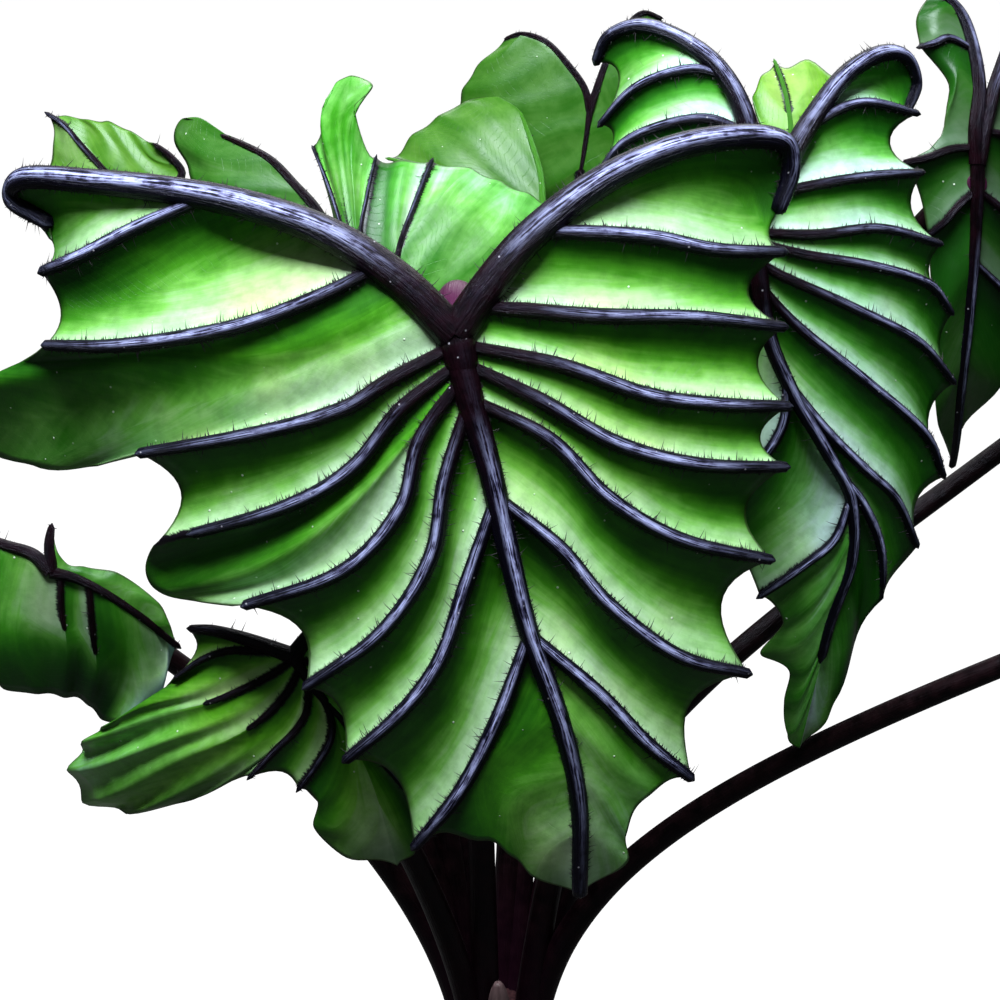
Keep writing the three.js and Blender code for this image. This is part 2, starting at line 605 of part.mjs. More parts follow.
// The quilted blade as a sheet of points with triangles, before it is bent to its shape.
function flatBlade(leaf) {
  const points = [];
  const triangles = [];
  const known = new Map();
  const midrib = curveThrough(leaf.sheet.midrib);

  const place = (key, point) => {
    if (!known.has(key)) {
      known.set(key, points.length);
      points.push(point);
    }
    return known.get(key);
  };
  let flipped = false;
  const face = (a, b, c) => {
    if (a === b || b === c || a === c) return;
    triangles.push(flipped ? [a, c, b] : [a, b, c]);
  };
  // Joins two rows of points that run side by side, with any counts.
  const zip = (first, second) => {
    let i = 0;
    let j = 0;
    while (i + 1 < first.length || j + 1 < second.length) {
      const nextFirst = (i + 1) / (first.length - 1 || 0.5);
      const nextSecond = (j + 1) / (second.length - 1);
      if (nextFirst < nextSecond) {
        face(first[i], first[i + 1], second[j]);
        i += 1;
      } else {
        face(first[i], second[j + 1], second[j]);
        j += 1;
      }
    }
  };

  for (const hand of ['right', 'left']) {
    const side = leaf.sheet[hand];
    flipped = hand === 'left';
    const lobe = curveThrough(side.lobe);
    const stations = spineStations(leaf, side);
    const spinePoint = (at) => (at < 0 ? lobe.getPoint(-at) : midrib.getPoint(at));
    const spineKey = (at) => (at < 0 ? `${hand} lobe ${at.toFixed(4)}` : `midrib ${at.toFixed(4)}`);
    const spineIndex = (at) => place(spineKey(at), spinePoint(at));

    const edges = side.ribs.map((rib, k) => {
      const root = spinePoint(rib.at);
      const point = sunkLine(rib, root);
      const inside = (row) => place(`${hand} rib ${k} ${row}`, point(row / leaf.rows));
      return { at: rib.at, point, index: (row) => (row === 0 ? spineIndex(rib.at) : inside(row)) };
    });
    const spineEdge = (from, to) => {
      const at = (s) => from + (to - from) * s;
      return { at: from, point: (s) => spinePoint(at(s)), index: (row) => spineIndex(at(row / leaf.rows)) };
    };
    const sides = [spineEdge(edges[0].at, -1), ...edges, spineEdge(edges[edges.length - 1].at, 1)];

    for (let panel = 0; panel + 1 < sides.length; panel += 1) {
      const [a, b] = [sides[panel], sides[panel + 1]];
      const roots = stations.filter((at) => at > a.at - SAME && at < b.at + SAME);
      let above = roots.map(spineIndex);
      for (let row = 1; row <= leaf.rows; row += 1) {
        const current = [a.index(row)];
        for (let column = 1; column < leaf.columns; column += 1) {
          const t = column / leaf.columns;
          const arch = 4 * t * (1 - t);
          const s = (row / leaf.rows) * (1 - side.pull[panel] * arch);
          const [pa, pb] = [a.point(s), b.point(s)];
          const root = spinePoint(a.at + (b.at - a.at) * t);
          const chord = spinePoint(a.at).clone().lerp(spinePoint(b.at), t);
          const point = pa.clone().lerp(pb, t).addScaledVector(root.sub(chord), 1 - s);
          point.z -= SAG.depth * pa.distanceTo(pb) * arch * (SAG.atSpine + SAG.gained * s * s);
          current.push(place(`${hand} ${panel} ${row} ${column}`, point));
        }
        current.push(b.index(row));
        zip(above, current);
        above = current;
      }
    }

    // The narrow strip of blade on the sinus side of the lobe rib.
    const lobeStations = stations.filter((at) => at <= 0).reverse();
    const outward = hand === 'right' ? 1 : -1;
    let inner = [spineIndex(0)];
    let outer = [spineIndex(0)];
    for (const at of lobeStations.slice(1)) {
      const along = lobe.getTangent(-at);
      const beside = new THREE.Vector3(-along.y, along.x, 0).normalize();
      const width = leaf.ribWidth * (STRIP.least + STRIP.more * Math.sin(-Math.PI * at));
      const point = spinePoint(at).addScaledVector(beside, outward * width);
      point.z -= STRIP.slope * width;
      const current = [spineIndex(at), place(`${hand} strip ${at.toFixed(4)}`, point)];
      face(inner[0], current[0], outer[0]);
      face(current[0], current[1], outer[0]);
      inner = [current[0]];
      outer = [current[1]];
    }
  }
  return { points, triangles };
}

// The bent shape of a leaf and its place in the plant

function bent(position, radius) {
  const angle = position.along / radius;
  return {
    along: radius * Math.sin(angle) + position.height * Math.sin(angle),
    height: radius * (Math.cos(angle) - 1) + position.height * Math.cos(angle),
  };
}

function shaper(leaf) {
  const facing = THREE.MathUtils.degToRad(leaf.faces);
  const up = THREE.MathUtils.degToRad(leaf.up);
  const spin = THREE.MathUtils.degToRad(leaf.spin);
  const normal = new THREE.Vector3(
    Math.sin(facing) * Math.cos(up), -Math.cos(facing) * Math.cos(up), Math.sin(up));
  const level = new THREE.Vector3(Math.cos(facing), Math.sin(facing), 0);
  const across = level.applyAxisAngle(normal, spin);
  const along = normal.clone().cross(across);
  const hub = new THREE.Vector3(...leaf.hub);
  const twist = THREE.MathUtils.degToRad(leaf.twist) / 100;
  return (point, lift = 0) => {
    const [across0, along0, height0] = point.toArray().map((part) => part * leaf.scale);
    const rolled = bent({ along: across0, height: height0 + lift }, leaf.rollRadius);
    const turn = twist * along0;
    const u = rolled.along * Math.cos(turn) - rolled.height * Math.sin(turn);
    const w = rolled.along * Math.sin(turn) + rolled.height * Math.cos(turn);
    const radius = point.y < 0 ? leaf.fallRadius : leaf.liftRadius;
    const fallen = bent({ along: along0, height: w }, radius);
    return hub.clone()
      .addScaledVector(across, u)
      .addScaledVector(along, fallen.along)
      .addScaledVector(normal, fallen.height);
  };
}

function bladeGeometry(leaf, shape, thickness) {
  const flat = flatBlade(leaf);
  const top = flat.points.map((point) => shape(point));
  const normals = top.map(() => new THREE.Vector3());
  for (const [a, b, c] of flat.triangles) {
    const slope = top[b].clone().sub(top[a]).cross(top[c].clone().sub(top[a]));
    for (const corner of [a, b, c]) normals[corner].add(slope);
  }
  const below = top.map((point, k) => point.clone().addScaledVector(normals[k].normalize(), -thickness));
  const count = top.length;
  const triangles = [...flat.triangles];
  const edges = new Map();
  for (const [a, b, c] of flat.triangles) {
    triangles.push([a + count, c + count, b + count]);
    for (const [from, to] of [[a, b], [b, c], [c, a]]) {
      if (edges.has(`${to} ${from}`)) edges.delete(`${to} ${from}`);
      else edges.set(`${from} ${to}`, [from, to]);
    }
  }
  for (const [from, to] of edges.values()) {
    triangles.push([from, to + count, to], [from, from + count, to + count]);
  }
  return geometryFrom([...top, ...below], triangles);
}

// How far before and after a point of a rib its direction is taken.
const NEARBY = 0.01;

// The raised ribs of a leaf, joined where they spring from one another.
function ribGeometry(leaf, shape) {
  const body = (pointAt, stations, [startWidth, endWidth]) => {
    const rings = [];
    const last = stations[stations.length - 1];
    for (const s of stations) {
      const centre = pointAt(s);
      const along = pointAt(Math.min(1, s + NEARBY)).sub(pointAt(Math.max(0, s - NEARBY))).normalize();
      const half = (leaf.ribWidth * (startWidth + ((endWidth - startWidth) * s) / last)) / 2;
      const beside = new THREE.Vector3(-along.y, along.x, 0).multiplyScalar(half / leaf.scale);
      const foot = (part) => shape(centre.clone().addScaledVector(beside, part), RIB.lift);
      rings.push([shape(centre, RIB.lift + half * RIB.heightToHalf), foot(-1), foot(1)]);
    }
    return toSolid(loft(rings));
  };
  const midrib = curveThrough(leaf.sheet.midrib);
  const below = spineStations(leaf, leaf.sheet.right).filter((at) => at >= 0);
  const bodies = [body((s) => midrib.getPoint(s), below, RIB.midrib)];
  for (const side of [leaf.sheet.right, leaf.sheet.left]) {
    const lobe = curveThrough(side.lobe);
    const above = spineStations(leaf, side).filter((at) => at <= 0).reverse().map((at) => -at);
    const ribbed = above.filter((s) => s < (side.lobeRib ?? 1) + SAME);
    bodies.push(body((s) => lobe.getPoint(s), ribbed, RIB.lobe));
    for (const rib of side.ribs.filter((each) => !each.fold)) {
      const root = rib.at < 0 ? lobe.getPoint(-rib.at) : midrib.getPoint(rib.at);
      bodies.push(body(sunkLine(rib, root), spanOf(0, rib.covers ?? 1, leaf.rows), RIB.side));
    }
  }
  return toGeometry(largestPiece(bodies.reduce((whole, next) => whole.add(next))));
}

function largestPiece(solid) {
  const pieces = solid.decompose();
  return pieces.reduce((most, piece) => (piece.volume() > most.volume() ? piece : most));
}

// Pot and soil

function turned(profile) {
  const points = profile.map(([radius, height]) => new THREE.Vector2(radius, height));
  const geometry = new THREE.LatheGeometry(points, TURNED_SECTORS);
  geometry.rotateX(Math.PI / 2);
  return geometry;
}

function potRadius(height) {
  return POT.baseRadius + ((POT.topRadius - POT.baseRadius) * height) / POT.height;
}

function potGeometry() {
  const rimFoot = POT.height - POT.rim;
  const inside = (height) => potRadius(height) - POT.wall;
  let pot = toSolid(turned([
    [0, 0],
    [POT.baseRadius - POT.baseEdge, 0],
    [potRadius(POT.baseEdge), POT.baseEdge],
    [potRadius(rimFoot), rimFoot],
    [potRadius(rimFoot) + POT.rimOut, rimFoot + POT.rimSlope],
    [POT.topRadius + POT.rimOut, POT.height - POT.lip],
    [POT.topRadius + POT.rimOut - POT.lip, POT.height],
    [inside(POT.height), POT.height],
    [inside(POT.floor), POT.floor],
    [0, POT.floor],
  ]));
  for (let k = 0; k < DRAIN.count; k += 1) {
    const angle = (2 * Math.PI * k) / DRAIN.count;
    const bore = new THREE.CylinderGeometry(DRAIN.radius, DRAIN.radius, POT.floor * 4, DRAIN.sides);
    bore.rotateX(Math.PI / 2);
    bore.translate(DRAIN.ring * Math.cos(angle), DRAIN.ring * Math.sin(angle), 0);
    pot = pot.subtract(toSolid(bore));
  }
  return toGeometry(pot);
}

// The height of loose soil in slow waves, in parts of its bump.
function unevenness(x, y) {
  return 0.6 + Math.sin(x / 17) * Math.cos(y / 13);
}

function soilGeometry() {
  const side = (height) => potRadius(height) - POT.wall - CLEARANCE;
  const floor = POT.floor + CLEARANCE;
  const rings = spanOf(side(SOIL.top), CROWN.hole, SOIL.rings);
  const holeFloor = CROWN_PROFILE[0][0] - CLEARANCE;
  const geometry = turned([
    [0, floor],
    [side(floor), floor],
    ...rings.map((radius) => [radius, SOIL.top]),
    [CROWN.hole, holeFloor],
    [0, holeFloor],
  ]);
  const position = geometry.attributes.position;
  for (let k = 0; k < position.count; k += 1) {
    const [x, y, z] = [position.getX(k), position.getY(k), position.getZ(k)];
    const radius = Math.hypot(x, y);
    const onRim = radius < CROWN.hole + 1 || radius > side(SOIL.top) - 1;
    if (z > SOIL.top - 1 && !onRim) position.setZ(k, z + SOIL.bump * unevenness(x, y));
  }
  return toGeometry(toSolid(geometry));
}

// Leaf bases, young shoot and stalks

// The furrowed bundle of leaf bases, or the room it takes with some extra all round.
function crownGeometry(extra = 0) {
  const angles = spanOf(0, 2 * Math.PI, CROWN.sectors).slice(1);
  const last = CROWN_PROFILE.length - 1;
  const rings = CROWN_PROFILE.map(([height, radius], k) => angles.map((angle) => {
    const furrow = CROWN.furrow * (0.5 + 0.5 * Math.cos(CROWN.lobes * angle));
    const reach = (radius + extra) * (1 - furrow);
    const level = height + (k === last ? extra : 0) - (k === 0 ? extra : 0);
    return new THREE.Vector3(reach * Math.cos(angle), reach * Math.sin(angle), level);
  }));
  return loft(rings);
}

// A round body along a curve, whose radius runs from the foot's to the end's.
function sweepRound(curve, steps, sides, radiusAt) {
  const rings = [];
  for (let step = 0; step <= steps; step += 1) {
    const s = step / steps;
    const along = curve.getTangent(s);
    const beside = new THREE.Vector3(1, 0, 0).cross(along).normalize();
    const over = along.clone().cross(beside);
    rings.push(spanOf(0, 2 * Math.PI, sides).slice(1).map((angle) => curve.getPoint(s)
      .addScaledVector(beside, radiusAt(s) * Math.cos(angle))
      .addScaledVector(over, radiusAt(s) * Math.sin(angle))));
  }
  return loft(rings);
}

function stalkCurve(leaf, shape) {
  const seat = THREE.MathUtils.degToRad(leaf.seat);
  const [x, y] = [STALK.ring * Math.cos(seat), STALK.ring * Math.sin(seat)];
  const foot = new THREE.Vector3(x, y, STALK.footHeight);
  const joint = new THREE.Vector3(0, -leaf.join, 0);
  const hub = shape(joint, -(BLADE_THICKNESS + CLEARANCE + RIB.lift));
  const behind = shape(joint, -1).sub(shape(joint));
  const reach = foot.distanceTo(hub);
  const rise = foot.clone().add(new THREE.Vector3(0, 0, reach * leaf.rise));
  const upward = shape(joint.clone().setY(1 - leaf.join)).sub(shape(joint));
  const bend = hub.clone().addScaledVector(behind, reach * leaf.bend).addScaledVector(upward, leaf.knee);
  return new THREE.CubicBezierCurve3(foot, rise, bend, hub);
}

const crown = toSolid(crownGeometry());
const crownRoom = toSolid(crownGeometry(CLEARANCE));
const shootCurve = new THREE.LineCurve3(new THREE.Vector3(...SHOOT.foot), new THREE.Vector3(...SHOOT.tip));
const shootRadius = (extra) => (s) => SHOOT.radius * Math.sqrt(1 - 0.9 * s ** 8) + extra;
const shootBody = (extra) => toSolid(
  sweepRound(shootCurve, SHOOT.steps, SHOOT.sides, shootRadius(extra)),
);

addMesh('pot', potGeometry(), COLOUR.pot, 0.55);
addMesh('soil', soilGeometry(), COLOUR.soil, 0.95);
addMesh('leaf_bases', toGeometry(crown), COLOUR.crown, 0.6);
addMesh('young_shoot', toGeometry(largestPiece(shootBody(0).subtract(crownRoom))), COLOUR.shoot, 0.6);

const taken = [crownRoom, shootBody(CLEARANCE)];
for (const leaf of LEAVES) {
  const full = { ...PLAIN_LEAF, ...leaf, sheet: SHEETS[leaf.sheet] };
  const shape = shaper(full);
  addMesh(`${leaf.name}_blade`, bladeGeometry(full, shape, BLADE_THICKNESS), COLOUR.blade, 0.4);
  addMesh(`${leaf.name}_ribs`, ribGeometry(full, shape), COLOUR.rib, 0.45);

  const curve = stalkCurve(full, shape);
  const radius = (extra) => (s) => STALK.footRadius + (STALK.endRadius - STALK.footRadius) * s + extra;
  const body = (extra) => toSolid(sweepRound(curve, STALK.steps, STALK.sides, radius(extra)));
  const underBlade = toSolid(bladeGeometry(full, shape, BLADE_THICKNESS + CLEARANCE));
  const stalk = [...taken, underBlade].reduce((rest, room) => rest.subtract(room), body(0));
  addMesh(`${leaf.name}_stalk`, toGeometry(largestPiece(stalk)), COLOUR.stalk, 0.5);
  taken.push(body(CLEARANCE));
}

export default group;
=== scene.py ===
"""A potted taro: quilted green leaves with dark raised ribs on dark stalks, in a nursery pot."""

import math

import bmesh
import bpy
import numpy as np
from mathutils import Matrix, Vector


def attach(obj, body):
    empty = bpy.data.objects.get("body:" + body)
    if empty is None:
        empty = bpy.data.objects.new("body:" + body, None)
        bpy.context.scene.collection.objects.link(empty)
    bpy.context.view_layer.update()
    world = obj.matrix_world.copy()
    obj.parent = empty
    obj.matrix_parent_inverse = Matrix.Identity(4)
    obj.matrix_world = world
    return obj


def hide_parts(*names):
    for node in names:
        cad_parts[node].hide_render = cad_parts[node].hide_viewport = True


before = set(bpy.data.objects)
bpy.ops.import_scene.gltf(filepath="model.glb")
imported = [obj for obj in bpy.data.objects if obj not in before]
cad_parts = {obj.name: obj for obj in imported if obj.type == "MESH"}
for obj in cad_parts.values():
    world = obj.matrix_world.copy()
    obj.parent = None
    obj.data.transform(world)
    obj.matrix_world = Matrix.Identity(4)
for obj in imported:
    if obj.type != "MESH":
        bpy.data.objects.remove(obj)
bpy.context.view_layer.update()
scene = bpy.context.scene
scene.view_settings.view_transform = "Standard"
MM = 0.001

# Pot: a plain round nursery pot of dark matte plastic, blow moulded in one piece with a turned-out
# rim and six drain holes in its base. The wall is a turned profile, and the holes are cut through.

POT_HEIGHT = 250
POT_TOP_RADIUS = 134
POT_BASE_RADIUS = 102
POT_WALL = 3.4
POT_FLOOR = 5
POT_SECTORS = 128
RIM_FOOT = POT_HEIGHT - 30
RIM_OUT = 6
DRAIN_RING = 62
DRAIN_RADIUS = 8
DRAIN_COUNT = 6


def pot_radius(height):
    return POT_BASE_RADIUS + (POT_TOP_RADIUS - POT_BASE_RADIUS) * height / POT_HEIGHT


def ring(reach, height, sectors):
    """Points round the axis at one height, as far from it as reach gives for their angle."""
    angles = [2 * math.pi * k / sectors for k in range(sectors)]
    return [(reach(a) * math.cos(a), reach(a) * math.sin(a), height) for a in angles]


def smooth_mesh(name, shape):
    mesh = bpy.data.meshes.new(name)
    shape.to_mesh(mesh)
    shape.free()
    mesh.polygons.foreach_set("use_smooth", [True] * len(mesh.polygons))
    return mesh


def lofted(name, rings):
    """A closed body through rings of points in millimetres. A ring may be one point at an end."""
    shape = bmesh.new()
    rows = [[shape.verts.new(Vector(point) * MM) for point in points] for points in rings]
    for below, above in zip(rows, rows[1:]):
        count = max(len(below), len(above))
        for k in range(count):
            after = (k + 1) % count
            corners = [below[k % len(below)], below[after % len(below)],
                       above[after % len(above)], above[k % len(above)]]
            shape.faces.new(list(dict.fromkeys(corners)))
    if len(rows[0]) > 1:
        shape.faces.new(rows[-1])
        shape.faces.new(list(reversed(rows[0])))
    return smooth_mesh(name, shape)


def turned(name, profile, sectors):
    """A body turned round Z from (radius, height) pairs in millimetres, its ends on the axis."""
    return lofted(name, [ring(lambda angle: radius, height, sectors if radius else 1)
                         for radius, height in profile])


def placed(name, data):
    """An object in the scene that holds a mesh, a light or a camera."""
    thing = bpy.data.objects.new(name, data)
    scene.collection.objects.link(thing)
    return thing


def add_piece(name, mesh, material, nodes):
    """Puts a finished mesh in the scene as a piece that stands for the CAD nodes."""
    piece = placed(name, mesh)
    mesh.materials.clear()
    mesh.materials.append(material)
    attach(piece, "root")
    if nodes:
        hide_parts(*nodes)


class Level:
    """What a node gives out, as a value to write sums with. Each sum adds a Math node."""

    def __init__(self, node, output=0):
        self.socket = node.outputs[output]
        self.tree = node.id_data

    def maths(self, operation, *others, clamp=False):
        inputs = dict(enumerate((self, *others)))
        return Level(add_node(self.tree, "ShaderNodeMath", inputs, operation=operation,
                              use_clamp=clamp))

    def __add__(self, other):
        return self.maths("ADD", other)

    def __sub__(self, other):
        return self.maths("SUBTRACT", other)

    def __mul__(self, other):
        return self.maths("MULTIPLY", other)

    def clamped(self, factor=1.0):
        return self.maths("MULTIPLY", factor, clamp=True)


def connect(node, inputs):
    """Sets a node's inputs to values, or links them to what other nodes give out."""
    for key, value in inputs.items():
        if isinstance(value, Level):
            node.id_data.links.new(value.socket, node.inputs[key])
        else:
            node.inputs[key].default_value = value


def add_node(tree, kind, inputs=None, **settings):
    node = tree.nodes.new(kind)
    for key, value in settings.items():
        setattr(node, key, value)
    connect(node, inputs or {})
    return node


def new_material(name):
    """A material, with its object coordinates and its shader."""
    material = bpy.data.materials.new(name)
    material.use_nodes = True
    place = Level(add_node(material.node_tree, "ShaderNodeTexCoord"), "Object")
    return material, place, material.node_tree.nodes["Principled BSDF"]


def scaled(place, *scale):
    return Level(add_node(place.tree, "ShaderNodeMapping", {"Vector": place, "Scale": scale}))


def noise(place, scale, detail=3.0, rough=0.55):
    return Level(add_node(place.tree, "ShaderNodeTexNoise", {
        "Vector": place, "Scale": scale, "Detail": detail, "Roughness": rough}), "Fac")


def ramp(value, *stops):
    """Colours or grey levels between stops, which are (place, colour or level) pairs."""
    node = add_node(value.tree, "ShaderNodeValToRGB", {"Fac": value})
    elements = node.color_ramp.elements
    while len(elements) < len(stops):
        elements.new(1.0)
    for element, (place, colour) in zip(elements, stops):
        element.position = place
        element.color = (*colour, 1) if isinstance(colour, tuple) else (colour, colour, colour, 1)
    return Level(node)


def mixed(amount, first, second, blend="MIX"):
    """The first colour, passing into the second by an amount."""
    first, second = (c if isinstance(c, Level) else (*c, 1) for c in (first, second))
    return Level(add_node(amount.tree, "ShaderNodeMix", {0: amount, 6: first, 7: second},
                          data_type="RGBA", blend_type=blend), 2)


def bumped(height, distance, strength):
    return Level(add_node(height.tree, "ShaderNodeBump", {
        "Height": height, "Distance": distance, "Strength": strength}))


under_rim = pot_radius(RIM_FOOT)
rim_radius = POT_TOP_RADIUS + RIM_OUT
mouth_radius = POT_TOP_RADIUS - POT_WALL
pot_mesh = turned("pot_wall", [
    (0, 0), (POT_BASE_RADIUS - 5, 0), (POT_BASE_RADIUS - 2, 0.7), (pot_radius(2) - 0.4, 2),
    *[(pot_radius(h), h) for h in (5, 40, 80, 120, 160, 200, RIM_FOOT - 1)],
    (under_rim + 0.6, RIM_FOOT), (under_rim + RIM_OUT - 1, RIM_FOOT + 2.6),
    (under_rim + RIM_OUT, RIM_FOOT + 4), (rim_radius - 0.8, POT_HEIGHT - 10),
    (rim_radius, POT_HEIGHT - 3), (rim_radius - 0.6, POT_HEIGHT - 0.7),
    (rim_radius - 2, POT_HEIGHT), (mouth_radius + 1, POT_HEIGHT), (mouth_radius, POT_HEIGHT - 1),
    *[(pot_radius(h) - POT_WALL, h) for h in (230, 200, 120, 40, 8)],
    (pot_radius(POT_FLOOR) - POT_WALL - 2, POT_FLOOR), (0, POT_FLOOR)], POT_SECTORS)
pot_cut = placed("pot_cut", pot_mesh)
drain = bmesh.new()
for hole in range(DRAIN_COUNT):
    angle = 2 * math.pi * hole / DRAIN_COUNT
    made = bmesh.ops.create_cone(drain, cap_ends=True, segments=40, radius1=DRAIN_RADIUS * MM,
                                 radius2=DRAIN_RADIUS * MM, depth=8 * POT_FLOOR * MM)
    place = Vector((math.cos(angle), math.sin(angle), 0)) * DRAIN_RING * MM
    bmesh.ops.translate(drain, verts=made["verts"], vec=place)
drain_tool = placed("drain_holes", smooth_mesh("drain_holes", drain))
cut = pot_cut.modifiers.new("drain", "BOOLEAN")
cut.operation = "DIFFERENCE"
cut.object = drain_tool
cut.solver = "EXACT"
graph = bpy.context.evaluated_depsgraph_get()
pot_mesh = bpy.data.meshes.new_from_object(pot_cut.evaluated_get(graph))
bpy.data.objects.remove(pot_cut)
bpy.data.objects.remove(drain_tool)
pot_mesh.set_sharp_from_angle(angle=math.radians(40))

pot_plastic, place, shader = new_material("pot plastic")
dust = noise(place, 38, 6)
connect(shader, {
    "Base Color": mixed(ramp(dust, (0.45, 0.0), (0.75, 1.0)), (0.020, 0.018, 0.017),
                        (0.052, 0.047, 0.042)),
    "Roughness": ramp(dust, (0.3, 0.42), (0.7, 0.62)),
    "Normal": bumped(noise(place, 900, 2), 0.00012, 0.6)})
add_piece("pot_body", pot_mesh, pot_plastic, ["pot"])

# Soil: loose brown potting mix filled to a finger's width below the rim. A body with an uneven top
# fills the pot, and crumbs are scattered over it by a Geometry Nodes tree.

SOIL_TOP = 226
SOIL_HOLE = 25
SOIL_FOOT = 175.7
SOIL_RINGS = 40
SOIL_SECTORS = 160
SOIL_SWELL = 1.6
SOIL_HEAVE = 2.2
SOIL_WAVES = 26
CLEARANCE = 0.3


def soil_side(height):
    return pot_radius(height) - POT_WALL - CLEARANCE


soil_edge = soil_side(SOIL_TOP)
soil_mesh = turned("soil", [
    (0, POT_FLOOR + CLEARANCE), (soil_side(POT_FLOOR) - 2.5, POT_FLOOR + CLEARANCE),
    *[(soil_side(h), h) for h in (12, 100, SOIL_TOP)],
    *[(soil_edge + (SOIL_HOLE - soil_edge) * k / SOIL_RINGS, SOIL_TOP)
      for k in range(1, SOIL_RINGS + 1)],
    (SOIL_HOLE, 200), (SOIL_HOLE, SOIL_FOOT), (0, SOIL_FOOT)], SOIL_SECTORS)
rng = np.random.default_rng(7)
waves = [(rng.uniform(20, 160), rng.uniform(0, math.pi), rng.uniform(0, 6.28))
         for _ in range(SOIL_WAVES)]
for vertex in soil_mesh.vertices:
    x, y, z = vertex.co / MM
    if z > SOIL_TOP - 1 and SOIL_HOLE + 1 < math.hypot(x, y) < soil_edge - 1:
        rough = sum(
            math.sin(f * (x * math.cos(a) + y * math.sin(a)) / 60 + p) * 9 / f for f, a, p in waves)
        heave = SOIL_HEAVE * math.sin(x / 17) * math.cos(y / 13)
        vertex.co.z += (SOIL_SWELL + heave + rough) * MM

soil_mix, place, shader = new_material("potting mix")
grain = noise(place, 260, 8, 0.7)
tone = mixed(ramp(grain, (0.35, 0.0), (0.68, 1.0)), (0.012, 0.008, 0.005), (0.085, 0.052, 0.030))
patch = ramp(noise(place, 42, 4), (0.4, 0.0), (0.7, 0.5))
connect(shader, {
    "Base Color": mixed(patch, tone, (0.035, 0.022, 0.013)),
    "Roughness": 0.95,
    "Normal": bumped(grain, 0.0016, 0.9)})
add_piece("soil_body", soil_mesh, soil_mix, ["soil"])


def new_tree(name, *sockets):
    """A Geometry Nodes tree and its named inputs, from (name, socket type, default) rows."""
    tree = bpy.data.node_groups.new(name, "GeometryNodeTree")
    for label, kind, *default in (("Geometry", "NodeSocketGeometry"), *sockets):
        socket = tree.interface.new_socket(label, in_out="INPUT", socket_type=kind)
        if default:
            socket.default_value = default[0]
    tree.interface.new_socket("Geometry", in_out="OUTPUT", socket_type="NodeSocketGeometry")
    group_in = tree.nodes.new("NodeGroupInput")
    return tree, {label: Level(group_in, label) for label in group_in.outputs.keys() if label}


def end_tree(tree, given, made):
    """Ends a tree: instances are made real, and all takes the given material."""
    real = Level(add_node(tree, "GeometryNodeRealizeInstances", {"Geometry": made}))
    painted = Level(add_node(tree, "GeometryNodeSetMaterial", {
        "Geometry": real, "Material": given["Material"]}))
    connect(tree.nodes.new("NodeGroupOutput"), {0: painted})


def split(vector):
    node = add_node(vector.tree, "ShaderNodeSeparateXYZ", {0: vector})
    return [Level(node, axis) for axis in "XYZ"]


def stored(tree, name, data_type="FLOAT_VECTOR"):
    return Level(add_node(tree, "GeometryNodeInputNamedAttribute", {"Name": name},
                          data_type=data_type))


def grown(mesh, node_tree, inputs):
    """Runs a Geometry Nodes tree on a mesh, with inputs by name, and returns the plain result."""
    holder = placed("holder", mesh)
    modifier = holder.modifiers.new("grow", "NODES")
    modifier.node_group = node_tree
    for item in node_tree.interface.items_tree:
        if item.item_type == "SOCKET" and item.in_out == "INPUT" and item.name in inputs:
            modifier[item.identifier] = inputs[item.name]
    graph = bpy.context.evaluated_depsgraph_get()
    result = bpy.data.meshes.new_from_object(holder.evaluated_get(graph))
    holder.modifiers.remove(modifier)
    bpy.data.objects.remove(holder)
    return result


crumb_tree, given = new_tree(
    "soil crumbs", ("Density", "NodeSocketFloat", 60000.0), ("Least size", "NodeSocketFloat", 0.0005),
    ("Greatest size", "NodeSocketFloat", 0.0022), ("Seed", "NodeSocketInt", 3),
    ("Material", "NodeSocketMaterial"))
upright = split(Level(add_node(crumb_tree, "GeometryNodeInputNormal")))[2]
upward = add_node(crumb_tree, "FunctionNodeCompare", {0: upright, 1: 0.5}, operation="GREATER_THAN")
points = add_node(crumb_tree, "GeometryNodeDistributePointsOnFaces", {
    "Mesh": given["Geometry"], "Selection": Level(upward), "Density": given["Density"],
    "Seed": given["Seed"]})
crumb = add_node(crumb_tree, "GeometryNodeMeshIcoSphere", {"Radius": 1.0, "Subdivisions": 1})
size = Level(add_node(crumb_tree, "FunctionNodeRandomValue", {
    2: given["Least size"], 3: given["Greatest size"], "Seed": given["Seed"]}), 1)
flatter = Level(add_node(crumb_tree, "FunctionNodeRandomValue", {
    0: (0.6, 0.6, 0.5), 1: (1.5, 1.1, 0.9), "Seed": 11}, data_type="FLOAT_VECTOR"))
extent = Level(add_node(crumb_tree, "ShaderNodeVectorMath", {0: flatter, "Scale": size},
                        operation="SCALE"))
turn = Level(add_node(crumb_tree, "FunctionNodeRandomValue", {
    0: (0.0, 0.0, 0.0), 1: (6.28, 6.28, 6.28), "Seed": 5}, data_type="FLOAT_VECTOR"))
end_tree(crumb_tree, given, Level(add_node(crumb_tree, "GeometryNodeInstanceOnPoints", {
    "Points": Level(points, "Points"), "Instance": Level(crumb, "Mesh"), "Rotation": turn,
    "Scale": extent})))

soil_patch = bmesh.new()
soil_patch.from_mesh(soil_mesh)
centres = {face: face.calc_center_median() for face in soil_patch.faces}
outside = [face for face, centre in centres.items()
           if centre.z < (SOIL_TOP - 6) * MM or centre.xy.length > (soil_edge - 3) * MM]
bmesh.ops.delete(soil_patch, geom=outside, context="FACES")
crumb_mesh = grown(smooth_mesh("soil_patch", soil_patch), crumb_tree, {"Material": soil_mix})
add_piece("soil_crumbs", crumb_mesh, soil_mix, [])

# Leaf bases: the sheaths at the foot of the stalks, which wrap round one another above the soil.
# One lofted body with a furrow where each sheath's edge shows, dull maroon with pale streaks.

